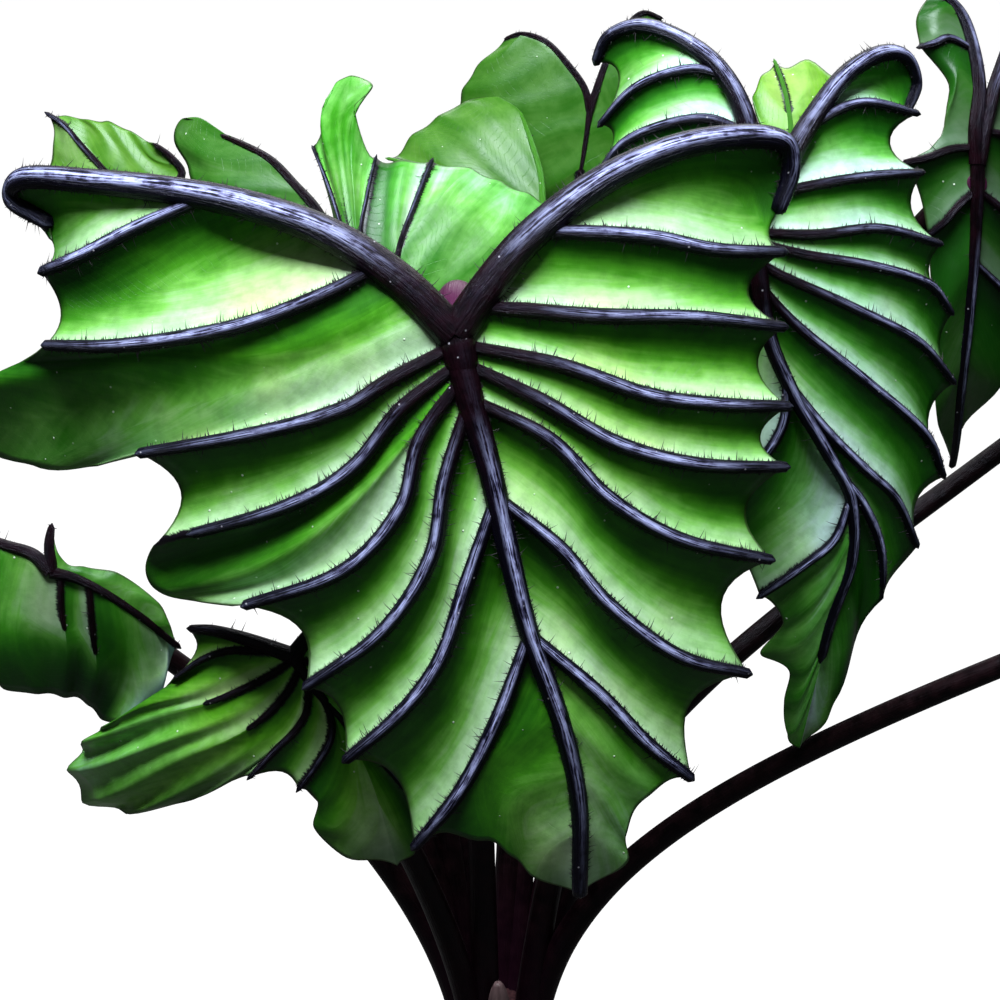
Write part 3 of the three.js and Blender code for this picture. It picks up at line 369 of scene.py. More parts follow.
CROWN_PROFILE = [(176, 19), (190, 24), (234, 24), (266, 27), (316, 28.5), (352, 27), (378, 23.5),
                 (394, 11)]
CROWN_LOBES = 11
CROWN_SECTORS = 176
CROWN_LEVELS = 60
FURROW_DEPTH = 0.075
FINE_FURROW_DEPTH = 0.012
SHEATH_WINDING = 0.012


def smooth_between(pairs, values):
    """Values of a smooth curve through (x, y) pairs."""
    xs, ys = zip(*pairs)
    slopes = np.gradient(np.array(ys, float), np.array(xs, float))
    found = []
    for value in values:
        k = int(np.clip(np.searchsorted(xs, value) - 1, 0, len(xs) - 2))
        span = xs[k + 1] - xs[k]
        w = (value - xs[k]) / span
        found.append(
            ys[k] * (2 * w**3 - 3 * w**2 + 1) + ys[k + 1] * (3 * w**2 - 2 * w**3)
            + span * (slopes[k] * (w**3 - 2 * w**2 + w) + slopes[k + 1] * (w**3 - w**2)))
    return found


def sheath_share(angle, height):
    """The part of the leaf bases' radius that the furrows leave."""
    wound = CROWN_LOBES * angle + SHEATH_WINDING * (height - 300)
    return (1 - FURROW_DEPTH * (1 - abs(math.sin(wound / 2))) ** 2.2
            - FINE_FURROW_DEPTH * math.sin(3 * wound))


levels = np.linspace(CROWN_PROFILE[0][0], CROWN_PROFILE[-1][0], CROWN_LEVELS)
crown_mesh = lofted("leaf_bases", [
    ring(lambda angle: radius * sheath_share(angle, height), height, CROWN_SECTORS)
    for height, radius in zip(levels, smooth_between(CROWN_PROFILE, levels))])

sheath_skin, place, shader = new_material("sheath skin")
streak = noise(scaled(place, 1, 1, 0.06), 420, 5)
earthy = (split(place)[2] * -12.0).maths("ADD", 3.4, clamp=True)
tone = mixed(ramp(streak, (0.36, 0.0), (0.7, 1.0)), (0.020, 0.006, 0.009), (0.085, 0.030, 0.034))
connect(shader, {
    "Base Color": mixed(earthy, tone, (0.055, 0.034, 0.020)),
    "Roughness": 0.5,
    "Normal": bumped(streak, 0.0006, 0.7)})
add_piece("leaf_base_sheaths", crown_mesh, sheath_skin, ["leaf_bases"])

# Young shoot: a rolled new leaf that stands up from the middle of the leaf bases, pointed and dull
# pink-grey. A round body of falling radius with a shallow spiral seam.

SHOOT_FOOT = Vector((2, -19, 352))
SHOOT_TIP = Vector((-1, -29, 421))
SHOOT_RADIUS = 6.4
SHOOT_STEPS = 48
SHOOT_SIDES = 40
SHOOT_FALL = 0.93
SEAM_DEPTH = 0.16
SEAM_SHARPNESS = 24


def shoot_reach(angle, s):
    """The shoot's radius at an angle and a part s of its height, drawn in along the seam."""
    seam = max(0.0, math.cos(angle - 3 * s)) ** SEAM_SHARPNESS
    return SHOOT_RADIUS * math.sqrt(1 - SHOOT_FALL * s**6) * (1 - SEAM_DEPTH * seam)


rings = []
for step in range(SHOOT_STEPS + 1):
    s = step / SHOOT_STEPS
    centre = SHOOT_FOOT.lerp(SHOOT_TIP, s)
    rings.append([centre + Vector(point)
                  for point in ring(lambda angle: shoot_reach(angle, s), 0, SHOOT_SIDES)])
shoot_mesh = lofted("young_shoot", rings)

shoot_skin, place, shader = new_material("shoot skin")
streak = noise(scaled(place, 1, 1, 0.1), 500, 4)
connect(shader, {
    "Base Color": ramp(streak, (0.3, (0.10, 0.055, 0.062)), (0.7, (0.26, 0.17, 0.18))),
    "Roughness": 0.5,
    "Normal": bumped(streak, 0.0003, 0.6)})
add_piece("young_shoot_leaf", shoot_mesh, shoot_skin, ["young_shoot"])

# Leaf drawings: each leaf's ribs as they lie on its flat sheet, in millimetres, with u across to the
# leaf's right and v up towards the lobes. The hub, where the stalk joins, is at 0, 0. A rib springs
# from the lobe rib at negative places (-1 is its tip) or from the midrib at positive ones.


def rib(at, *line, covers=1.0, sink=0.0, tone=0.0, fold=False):
    """A raised rib along a line. covers is the part of the line that it follows, and tone is how much
    painted light pales the blade (or, below 0, how much painted shade darkens it) towards the line's
    end."""
    return {"at": at, "line": line, "covers": covers, "sink": sink, "tone": tone, "fold": fold}


def fold(at, *line, **others):
    """A line with no rib, where the blade bulges out and hangs back by sink at its end."""
    return rib(at, *line, fold=True, **others)


def half(lobe, pull, *ribs, tone=0.0):
    """One half of a leaf. pull is how far each panel's margin is drawn in, from the lobe's tip on,
    and tone, of painted light (or painted shade, below 0), is added to that of every rib and fold."""
    ribs = [{**each, "tone": each["tone"] + tone} for each in ribs]
    return {"lobe": lobe, "pull": pull, "ribs": ribs}


FRONT_SHEET = {
    "midrib": [(6, -26), (14, -54), (22, -90), (30, -122), (43, -160), (51, -198), (52, -243)],
    "right": half(
        [(12, 18), (30, 40), (58, 63), (90, 80), (120, 88), (140, 89, -4), (145, 78, -9),
         (141, 60, -14)],
        [0.05, 0.1, 0.07, 0.07, 0.07, 0.09, 0.12, 0.02, 0.02, 0.02, -0.06],
        rib(-0.26, (52, 42), (80, 41), (108, 37), (137, 38), tone=-0.25),
        rib(-0.08, (28, 10), (58, 8), (100, 8), (137, 5)),
        rib(0.02, (42, -12), (78, -24), (108, -28), (139, -29)),
        rib(0.06, (34, -26), (66, -44), (100, -53), (138, -55)),
        rib(0.14, (38, -42), (62, -66), (92, -84), (132, -95)),
        rib(0.33, (42, -86), (62, -110), (92, -134), (123, -145)),
        rib(0.57, (58, -148), (79, -172), (99, -191)),
        fold(0.7, (64, -179), (82, -197), sink=1, tone=0.4),
        fold(0.8, (61, -197), (72, -216), sink=2, tone=0.4),
        fold(0.9, (60, -217), (73, -231), sink=3, tone=0.2)),
    "left": half(
        [(-22, 22), (-50, 41), (-82, 54), (-115, 63), (-152, 71), (-188, 78), (-200, 72, -8),
         (-182, 58, -12)],
        [0.04, 0.03, -0.02, -0.12, -0.02, 0.05, -0.04, -0.05, 0.06, 0.04, 0.08, 0.05, 0.02, 0.02,
         -0.06],
        rib(-0.45, (-134, 48), (-158, 38), (-178, 32), tone=-0.6),
        rib(-0.165, (-50, 18), (-82, 6), (-112, 0), (-144, -3), (-176, -2), tone=-0.1),
        fold(-0.1, (-70, -6), (-146, -12), (-226, -22), sink=20, tone=-0.5),
        fold(-0.045, (-60, -14), (-130, -34), (-206, -60), sink=30, tone=-0.7),
        rib(0.02, (-26, -18), (-46, -30), (-82, -40), (-132, -49)),
        rib(0.06, (-22, -30), (-42, -54), (-72, -71), (-127, -88), covers=0.93, sink=6),
        fold(0.075, (-40, -66), (-86, -98), (-134, -112), sink=16, tone=-0.6),
        rib(0.09, (-14, -42), (-22, -70), (-46, -96), (-87, -112), tone=-0.35),
        rib(0.14, (-4, -58), (-10, -90), (-30, -121), (-62, -146)),
        rib(0.33, (4, -102), (-6, -132), (-22, -155), (-46, -178)),
        rib(0.57, (18, -156), (2, -190), (-18, -218)),
        fold(0.7, (10, -181), (9, -215), sink=1, tone=-0.3),
        fold(0.8, (24, -195), (22, -223), sink=2, tone=-0.4),
        fold(0.9, (39, -220), (32, -235), sink=3, tone=-0.4)),
}

RIGHT_SHEET = {
    "midrib": [(3, -24), (7, -48), (18, -73), (33, -98), (46, -122), (48, -152), (38, -187),
               (29, -249)],
    "right": half(
        [(16, 28), (30, 50), (47, 71), (66, 84), (82, 86, -2), (91, 76, -6), (87, 62, -10)],
        [0.05, 0.14, 0.06, 0.04, 0, 0.04, 0.03, -0.06, -0.04, 0.02, -0.08],
        rib(-0.19, (31, 47), (54, 58), (84, 57)),
        rib(-0.07, (25, 18), (57, 24), (85, 28)),
        rib(0.01, (29, -3), (61, 0), (95, -6)),
        rib(0.03, (24, -12), (56, -17), (87, -25), (102, -39)),
        rib(0.07, (13, -21), (45, -35), (81, -52), (104, -73)),
        rib(0.13, (21, -44), (52, -68), (86, -96), (99, -119)),
        rib(0.34, (33, -89), (52, -108), (70, -125), (84, -151)),
        rib(0.56, (53, -126), (63, -148), (66, -174), covers=0.92, tone=-0.6),
        fold(0.85, (45, -208), (48, -222), sink=2, tone=-0.9),
        fold(0.93, (37, -235), (42, -238), sink=2, tone=-0.5)),
    "left": half(
        [(1, 22), (0, 44), (-8, 66), (-21, 82), (-42, 95), (-60, 96, -5), (-70, 87, -12)],
        [0.22, 0.12, 0.08, 0.08, 0.08, 0.08, 0.06, 0.02, 0.02, 0.02, 0.02, 0, -0.08],
        rib(-0.44, (-24, 72), (-48, 67, -2), (-68, 54, -9), tone=-0.7),
        rib(-0.27, (-21, 49), (-52, 43, -2), (-70, 29, -8), tone=-0.5),
        rib(0.01, (-24, 8), (-52, 8), (-80, 0)),
        rib(0.03, (-18, -16), (-44, -27), (-73, -34)),
        rib(0.07, (-10, -34), (-32, -53), (-60, -69)),
        rib(0.34, (13, -86), (0, -106), (-24, -130), tone=-0.4),
        rib(0.62, (39, -140), (25, -151), (5, -165), tone=-0.8),
        fold(0.69, (33, -167), (17, -180), sink=2, tone=-0.9),
        fold(0.76, (27, -188), (7, -195), sink=2, tone=-0.9),
        fold(0.81, (31, -202), (21, -205), sink=2, tone=-0.9),
        fold(0.87, (28, -219), (20, -222), sink=2, tone=-0.8),
        fold(0.93, (27, -237), (23, -241), sink=2, tone=-0.5)),
}

PALE_SHEET = {
    "midrib": [(-2, -25), (-9, -49), (-17, -75)],
    "right": half(
        [(8, -1), (17, -6), (27, -14)],
        [0.02, 0, 0, 0, 0, 0.05, 0.02, 0],
        rib(-0.75, (24, -31), (32, -59), (43, -91, -3)),
        fold(-0.62, (22, -33), (29, -62, 2), (36, -98, 8), (28, -112, 16)),
        fold(-0.52, (21, -33), (26, -62, 3), (29, -97, 10), (20, -112, 20)),
        fold(-0.46, (19, -32), (23, -62, 3), (24, -92, 12), (10, -98, 26)),
        fold(-0.4, (18, -31), (20, -56, 3), (21, -78, 8), (18, -92, 18)),
        rib(-0.3, (16, -30), (14, -53), (10, -77)),
        fold(0.3, (0, -39), (-4, -75)),
        tone=0.7),
    "left": half(
        [(-12, 7, -3), (-28, 10, -8), (-44, -1, -10)],
        [0.02, 0.02, 0.02, 0.02, 0],
        fold(-0.8, (-55, -13), (-66, -32), (-79, -57)),
        fold(-0.4, (-39, -20), (-55, -42), (-66, -64)),
        fold(-0.1, (-24, -31), (-39, -52), (-51, -68)),
        fold(0.3, (-14, -41), (-25, -59), (-36, -73)),
        tone=0.9),
}

TALL_SHEET = {
    "midrib": [(-2, -14), (-5, -32), (-10, -50)],
    "right": half(
        [(4, 13), (10, 29), (18, 43), (27, 52), (37, 50)],
        [0.02, 0.05, 0.05, 0.05, 0.05],
        fold(-0.7, (32, 41), (40, 36)),
        fold(-0.3, (20, 12), (37, 4)),
        fold(0.2, (11, -8), (30, -15)),
        fold(0.6, (5, -34), (19, -41))),
    "left": half(
        [(-3, 12), (-12, 25), (-22, 36), (-34, 41), (-44, 41, -4)],
        [-0.04, 0.03, 0.03, 0.04, 0.04, 0.04],
        fold(-0.8, (-46, 30), (-59, 28, -4)),
        fold(-0.5, (-34, 19), (-51, 14), (-68, 15, -4)),
        fold(-0.2, (-23, 6), (-46, 2), (-72, -2, -4)),
        fold(0.2, (-15, -10), (-35, -17), (-58, -22)),
        fold(0.6, (-16, -35), (-30, -42), (-46, -48))),
}

MIDDLE_SHEET = {
    "midrib": [(-17, 13), (-47, 27), (-81, 47)],
    "right": half(
        [(2, -8), (-2, -16)],
        [0.02, 0.02, 0.02],
        fold(-0.4, (-7, -8), (-15, -14)),
        fold(0.5, (-41, 17), (-48, 13))),
    "left": half(
        [(-1, 10), (-2, 26), (-7, 46), (-12, 63)],
        [-0.05, -0.02, 0, 0.02, 0.02],
        fold(-0.75, (-12, 63), (-24, 78, -3)),
        fold(-0.4, (-17, 46), (-28, 64), (-39, 78, -3)),
        fold(-0.1, (-22, 30), (-41, 55), (-55, 71, -3)),
        fold(0.5, (-55, 40), (-69, 61, -2))),
}

SHADE_SHEET = {
    "midrib": [(-5, -10), (-13, -23)],
    "right": half(
        [(6, -4), (10, -12)],
        [0.02, 0.02, 0.02],
        fold(-0.5, (7, -16), (6, -23)),
        fold(0.4, (-2, -20), (-1, -27))),
    "left": half(
        [(-8, 15), (-18, 27), (-29, 40), (-42, 50), (-55, 59)],
        [0.06, -0.04, 0.04, 0.04, 0.04, 0.04],
        fold(-0.9, (-60, 66), (-69, 75), (-77, 78)),
        fold(-0.65, (-51, 44), (-67, 52), (-84, 68, -4)),
        fold(-0.35, (-34, 27), (-53, 30), (-73, 40, -4)),
        fold(-0.1, (-24, 7), (-44, 10), (-64, 17, -4)),
        fold(0.4, (-19, -13), (-33, -12))),
}

EDGE_SHEET = {
    "midrib": [(-15, 9), (-30, 25), (-41, 39, 2), (-48, 45, 4)],
    "right": half(
        [(-9, -3), (-21, -4)],
        [0.02, 0.03, 0.05, 0.06],
        fold(-0.3, (-25, -1), (-40, 4)),
        fold(0.3, (-31, 12), (-52, 16, -2)),
        fold(0.7, (-42, 27), (-47, 30))),
    "left": half(
        [(8, 5), (14, 13), (9, 20, 2), (2, 25, 4)],
        [0.02, 0.02, 0.02, 0.02, 0.04],
        fold(-0.6, (0, 20), (-9, 33)),
        fold(-0.2, (-7, 19), (-20, 39)),
        fold(0.3, (-22, 30), (-30, 41)),
        fold(0.7, (-38, 42), (-41, 45))),
}

LOW_SHEET = {
    "midrib": [(7, -11), (19, -27), (33, -55), (44, -99)],
    "right": half(
        [(11, 12), (29, 19), (50, 9)],
        [0.1, 0.1, 0.1, 0.1, 0.1, 0],
        rib(-0.4, (34, 7), (54, -4)),
        rib(0.03, (30, -8), (59, -21)),
        rib(0.13, (39, -27), (64, -44)),
        rib(0.42, (42, -52), (56, -73)),
        fold(0.82, (44, -80), (52, -94)),
        tone=-0.5),
    "left": half(
        [(-11, 4), (-23, 8), (-35, 11), (-46, 12)],
        [0.12, 0, 0, 0, 0, 0, 0, 0.05, 0.08, 0.02, 0, 0, 0],
        rib(-0.12, (-16, 2), (-28, 2), (-40, -2), (-52, -10)),
        fold(-0.04, (-20, -5), (-44, -16), (-71, -25, -2), (-96, -39, -6), tone=0.6),
        rib(0.03, (-9, -8), (-23, -15), (-38, -21), (-67, -30, -3), (-116, -53, -9), covers=0.6,
            tone=1.0),
        fold(0.06, (-10, -16), (-34, -29), (-73, -47, -4), (-141, -86, -14), tone=1.2),
        rib(0.12, (-2, -15), (-12, -26), (-27, -36), (-63, -55, -5), (-131, -107, -16), covers=0.52,
            tone=0.6),
        fold(0.16, (1, -22), (-15, -38, -2), (-41, -57, -6), (-90, -92, -14), tone=-0.6),
        fold(0.2, (2, -26), (-9, -40, -2), (-26, -54, -6), (-46, -69, -10), tone=-0.7),
        rib(0.25, (6, -23), (1, -32), (-8, -41), (-19, -53), tone=-0.5),
        rib(0.36, (16, -26), (16, -36), (10, -47), (2, -58), tone=-0.4),
        fold(0.5, (22, -44), (18, -56), (10, -64), tone=-0.5),
        fold(0.64, (26, -64), (18, -76), (8, -77, -2), tone=-0.6),
        fold(0.82, (34, -82), (22, -93, -2), tone=-0.4)),
}

FAR_SHEET = {
    "midrib": [(12, -3), (27, -11), (43, -23), (58, -38)],
    "right": half(
        [(0, 5), (-1, 13), (0, 22)],
        [0.02, 0.3, 0.02, 0, 0, 0],
        fold(-0.3, (3, 7), (4, 8)),
        fold(0.1, (13, 0), (15, 3, -2)),
        fold(0.35, (25, -4), (31, 0, -2)),
        fold(0.65, (42, -13), (50, -15, -2)),
        fold(0.82, (52, -26), (55, -26, -2))),
    "left": half(
        [(-8, 8), (-19, 12), (-34, 16), (-49, 12)],
        [0.04, 0, 0, 0, 0, 0, 0, -0.04],
        fold(-0.6, (-29, -8), (-34, -33), (-28, -60, -6), tone=0.3),
        fold(-0.25, (-13, -13), (-16, -34), (-11, -63, -6), tone=-0.2),
        rib(0.1, (5, -18), (7, -36), (3, -65, -6), covers=0.5, tone=-0.5),
        rib(0.35, (19, -28), (20, -48), (14, -70, -6), covers=0.5, tone=-0.6),
        fold(0.52, (31, -32), (30, -55, -2), (20, -78, -4), tone=-0.5),
        fold(0.66, (39, -38), (40, -60, 4), (32, -75, 4), tone=2.0),
        fold(0.82, (50, -42), (51, -52, 3), (47, -65, 3), tone=2.0)),
}

FAR_RIGHT_SHEET = {
    "midrib": [(-2, -31), (-3, -70), (-1, -112), (7, -161)],
    "right": half(
        [(7, 20), (20, 44), (43, 73), (86, 109)],
        [0.05, 0.05, 0.06, 0.06, 0.06, 0.12],
        fold(-0.6, (52, 57), (98, 68)),
        rib(-0.2, (32, 10), (83, 6)),
        rib(0.1, (23, -28), (68, -44)),
        rib(0.35, (22, -68), (47, -89)),
        fold(0.65, (14, -108), (23, -114))),
    "left": half(
        [(1, 16), (6, 35), (8, 55), (7, 75), (-1, 90)],
        [-0.06, 0.04, 0.1, 0.5, 0.12, 0.06, 0.04, 0.05],
        fold(-0.85, (-4, 78), (-14, 78, -6)),
        rib(-0.6, (-3, 62), (-12, 60), (-17, 62, -6)),
        fold(-0.35, (-2, 44), (-6, 39), (-8, 37, -4)),
        rib(-0.1, (-13, 8), (-25, 5), (-35, 4, -4)),
        rib(0.1, (-10, -18), (-18, -26), (-25, -33, -4)),
        fold(0.35, (-14, -64), (-19, -80, -4)),
        fold(0.65, (-8, -116), (-10, -128, -3))),
}

SMALL_SHEET = {
    "midrib": [(0, 16), (-2, 35), (-6, 55)],
    "right": half(
        [(-7, 0), (-13, 7)],
        [0.02, 0.04, 0.02],
        fold(-0.4, (-15, 16), (-19, 31)),
        fold(0.4, (-10, 32), (-14, 45))),
    "left": half(
        [(11, 1), (21, 8)],
        [0.02, 0.08, 0.1],
        fold(-0.4, (20, 25), (36, 46, -3)),
        fold(0.4, (9, 37), (12, 57))),
}

PLAIN_SIDE = half(
    [(24, 28), (62, 54), (104, 68), (146, 66)],
    [0.1, 0.1, 0.1, 0.1, 0.1, 0.1, 0.08],
    rib(-0.5, (88, 42), (146, 30)),
    rib(-0.16, (66, 12), (142, -8)),
    rib(0.03, (62, -22), (128, -50)),
    rib(0.1, (46, -52), (104, -94)),
    rib(0.24, (34, -92), (74, -140)),
    rib(0.46, (26, -138), (44, -180)))


def mirrored(side):
    flipped = [{**each, "line": [(-u, v) for u, v in each["line"]]} for each in side["ribs"]]
    return half([(-u, v) for u, v in side["lobe"]], side["pull"], *flipped)


PLAIN_SHEET = {
    "midrib": [(2, -50), (-3, -110), (2, -170), (0, -222)],
    "right": PLAIN_SIDE,
    "left": mirrored(PLAIN_SIDE),
}


def new_leaf(name, sheet, hub, seat, up, radii, **others):
    """A leaf: hub is where its stalk joins it, seat is its stalk's direction on the leaf bases, up
    and faces turn its face up and round, and radii bend it across, down from the hub and above."""
    plain = dict(scale=1, faces=0, spin=0, twist=0, rise=0.3, bend=0.16, knee=0, join=9, ribWidth=6)
    return {**plain, "name": name, "sheet": sheet, "hub": np.array(hub), "seat": seat, "up": up,
            "radii": radii, **others}


LEAVES = [
    new_leaf("front", FRONT_SHEET, (-18, -150, 790), 245, 20, (420, 520, 380), rise=0.2, bend=0.12,
             knee=120, ribWidth=9),
    new_leaf("right", RIGHT_SHEET, (109, -57, 811), 318, 20, (160, 420, 300), faces=4, ribWidth=6.4),
    new_leaf("back_pale", PALE_SHEET, (-50, 30, 755), 150, 30, (170, 200, 220), spin=180,
             ribWidth=2.8),
    new_leaf("back_tall", TALL_SHEET, (45, 130, 825), 65, 20, (160, 260, 220), ribWidth=2.4),
    new_leaf("back_middle", MIDDLE_SHEET, (22, 85, 778), 84, 28, (170, 200, 150), ribWidth=2.4),
    new_leaf("back_left", SHADE_SHEET, (-76, 0, 791), 172, 25, (160, 160, 150), ribWidth=3),
    new_leaf("back_edge", EDGE_SHEET, (-156, -20, 814), 190, 25, (120, 150, 150), join=4,
             ribWidth=2.8),
    new_leaf("low_left", LOW_SHEET, (-88, -138, 645), 232, 22, (150, 200, 160), ribWidth=4.4),
    new_leaf("far_left", FAR_SHEET, (-207, -42, 645), 207, 24, (160, 110, 160), rise=0.42, bend=0.2,
             ribWidth=4),
    new_leaf("far_right", FAR_RIGHT_SHEET, (225, 48, 816), 2, 15, (120, 220, 160), faces=20,
             ribWidth=5.4),
    new_leaf("back_right", SMALL_SHEET, (149, 150, 800), 47, 30, (120, 160, 120), join=4,
             ribWidth=2.6),
    new_leaf("low_right", PLAIN_SHEET, (292, -100, 663), 340, 35, (170, 200, 170), scale=0.8, faces=75,
             twist=6, rise=0.29, bend=0.53, knee=21),
    new_leaf("mid_right", PLAIN_SHEET, (312, 110, 706), 25, 40, (160, 200, 160), scale=0.74, faces=110,
             twist=-6, rise=0.4, bend=0.49, knee=27),
]

# Blades: thin leathery sheets that hang in troughs between the ribs, with painted shade deep green
# under each rib and a pale painted highlight above the next, with a dark margin. Each is a fine grid
# over its drawing, bent to its shape.

BLADE_THICKNESS = 0.8
SAG_DEPTH = 0.2
SAG_AT_SPINE = 0.7
SAG_GAINED = 0.5
STRIP_LEAST = 0.35
STRIP_MORE = 0.15
STRIP_SLOPE = 0.45
# A rib that covers this much of its line is raised to its end. Another sinks into the blade, from a
# little before the place it covers and over this part of the line.
FULL_COVER = 0.9
SINKS_BEFORE = 0.1
SINKS_OVER = 0.25
# Where along a line its tone of painted light or shade starts to show and over how much of it, and
# how far (mm) from any rib the blade past the midrib's end counts as, with the part of the midrib
# over which that sets in.
TONE_START = 0.45
TONE_SPAN = 0.4
PAST_MIDRIB = 8
PAST_MIDRIB_SPAN = 0.06
FINE_GRID = {"front": (26, 12), "right": (22, 10)}
PLAIN_GRID = (16, 8)
STATION_GAP = 4.0
# How pale blue-green each blade is (below 0, how dark: partly its own deeper green, partly painted
# shade), how yellow with youth it is, and how maroon (or green, below 0) its ribs are.
LEAF_LOOK = {
    "front": (0.0, 0.2, 0.0), "right": (0.35, 0.0, 0.0), "back_pale": (-0.45, 0.0, 0.2),
    "back_tall": (-0.75, 0.4, 0.8), "back_middle": (-0.7, 0.6, -0.9), "back_left": (-0.75, 0.2, 0.9),
    "back_edge": (-0.6, 0.7, 0.3), "low_left": (0.0, 0.5, 0.0), "far_left": (-0.5, 0.1, 0.9),
    "far_right": (-0.85, 0.0, 0.3), "back_right": (-0.3, 0.9, -0.9), "low_right": (0.0, 0.0, 0.0),
    "mid_right": (0.0, 0.0, 0.0),
}
# How far along a leaf its midrib stays raised, where that isn't to the tip.
MIDRIB_COVERS = {"right": 0.9, "low_left": 0.4}


def curve_through(line, start=(0.0, 0.0)):
    """A smooth curve through points, as a function of its parameter, straight on past 1."""
    points = np.array([(*point, 0.0)[:3] for point in (start, *line)], float)
    points = np.vstack([2 * points[0] - points[1], points, 2 * points[-1] - points[-2]])
    spans = len(points) - 3

    def inside(t):
        place = np.clip(t, 0, 1) * spans
        k = np.minimum(place.astype(int), spans - 1)
        w = (place - k)[:, None]
        p0, p1, p2, p3 = (points[k + n] for n in range(4))
        m1, m2 = (p2 - p0) / 2, (p3 - p1) / 2
        return ((2 * p1 - 2 * p2 + m1 + m2) * w**3 + (-3 * p1 + 3 * p2 - 2 * m1 - m2) * w**2
                + m1 * w + p1)

    steps = np.diff(inside(np.linspace(0, 1, 200)), axis=0)
    length = np.linalg.norm(steps, axis=1).sum()
    ending = steps[-1] / np.linalg.norm(steps[-1])

    def at(t):
        t = np.atleast_1d(np.asarray(t, float))
        return inside(t) + np.maximum(0, t - 1)[:, None] * length * ending

    at.length = length
    return at


class Side:
    """One half of a leaf's sheet: its spine, its ribs and folds, and the panels between them."""

    def __init__(self, sheet, hand):
        self.hand = hand
        self.midrib = curve_through(sheet["midrib"])
        self.lobe = curve_through(sheet[hand]["lobe"])
        self.ribs = sheet[hand]["ribs"]
        self.pull = sheet[hand]["pull"]
        self.lines = [self.rib_line(each) for each in self.ribs]
        first, last = self.ribs[0]["at"], self.ribs[-1]["at"]
        self.edges = [self.spine_line(first, -1), *self.lines, self.spine_line(last, 1)]
        self.ats = [first, *[each["at"] for each in self.ribs], last]
        self.raised = [True, *[not each["fold"] for each in self.ribs], True]
        self.covers = [2.0, *[each["covers"] for each in self.ribs], 2.0]
        # The lines' tones: painted light above 0 and painted shade below 0, shown on the blade beside
        # them.
        tones = [each["tone"] for each in self.ribs]
        self.tones = [tones[0], *tones, tones[-1]]

    def spine(self, at):
        at = np.atleast_1d(np.asarray(at, float))
        return np.where((at < 0)[:, None], self.lobe(-at), self.midrib(at))

    def rib_line(self, each):
        curve = curve_through(each["line"], self.spine(each["at"])[0])

        def point(s):
            s = np.atleast_1d(np.asarray(s, float))
            return curve(s) - np.outer(each["sink"] * np.maximum(0, s) ** 1.5, (0, 0, 1))

        point.length = curve.length
        return point

    def spine_line(self, start, end):
        return lambda s: self.spine(start + (end - start) * np.atleast_1d(s))

    def between_ribs(self, k, s, t):
        """How far across the space between two raised ribs a place in panel k lies, which sets where
        the blade's painted shade turns to its painted highlight.
        """
        first = max(n for n in range(k + 1) if self.raised[n])
        last = min(n for n in range(k + 1, len(self.raised)) if self.raised[n])
        if last - first > 4:
            return 0.46 - 0.05 * math.cos(2 * math.pi * t) + 0.16 * s * s
        part = (k - first + t) / (last - first)
        if last - first == 4 and self.hand == "right":
            return 0.25 + 0.6 * math.sqrt(part)
        past_first, past_last = (float(self.smoothness(n, np.array(s))) for n in (first, last))
        return (0.45 * past_first) * (1 - part) + (1 - 0.5 * past_last) * part

    def smoothness(self, k, reach):
        """1 where line k is a fold or lies past the end of its rib, and 0 on a rib."""
        if not self.raised[k]:
            return np.ones_like(reach)
        if self.covers[k] >= FULL_COVER:
            return np.zeros_like(reach)
        return np.clip((reach - self.covers[k] + SINKS_BEFORE) / SINKS_OVER, 0, 1)

    def rib_distance(self, k, s, t, width):
        """How far a place lies from the nearer rib of panel k, in millimetres."""
        soft = [float(self.smoothness(n, np.array(s))) for n in (k, k + 1)]
        return width * min(t + soft[0], 1 - t + soft[1])

    def hollow(self, k, reach, t):
        """The hollow between two lines, 1 at its deepest, rounded off where a line is a fold."""
        a, b = self.smoothness(k, reach), self.smoothness(k + 1, reach)
        back = 1 - t
        return ((1 - a) * (1 - b) * 4 * t * back + (1 - a) * b * 6.75 * t * back**2
                + a * (1 - b) * 6.75 * t**2 * back + a * b * 16 * t**2 * back**2)

    def stretched(self, k, reach, t):
        """The blade from line k to the next without a hollow: straight, and smooth over a fold."""
        a, b = self.edges[k](reach), self.edges[k + 1](reach)
        width = np.linalg.norm(b - a, axis=1)[:, None]

        def slope(line, here, past_line, other):
            if not 0 <= past_line < len(self.edges):
                return b - a
            past = self.edges[past_line](reach)
            step = np.linalg.norm(here - past, axis=1)[:, None]
            smooth = (line - past_line) * (other - past) * width / (width + step + 1e-9)
            return b - a + (smooth - (b - a)) * self.smoothness(line, reach)[:, None]

        points = (a * (2 * t**3 - 3 * t**2 + 1) + b * (3 * t**2 - 2 * t**3)
                  + slope(k, a, k - 1, b) * (t**3 - 2 * t**2 + t)
                  + slope(k + 1, b, k + 2, a) * (t**3 - t**2))
        return points, width[:, 0]

    def panel(self, k, s, t):
        """Points of panel k at parts s of the way out and t of the way across."""
        hollow = self.hollow(k, s, t)
        reach = s * (1 - self.pull[k] * hollow)
        root = self.spine(self.ats[k] + (self.ats[k + 1] - self.ats[k]) * t)
        start = self.stretched(k, np.zeros_like(reach), t[:, None])[0]
        points, width = self.stretched(k, reach, t[:, None])
        points += (root - start) * (1 - reach)[:, None]
        depth = SAG_DEPTH * (self.raised[k] + self.raised[k + 1] + 0.5) / 2.5
        points[:, 2] -= depth * width * hollow * (SAG_AT_SPINE + SAG_GAINED * reach**2)
        return points, width


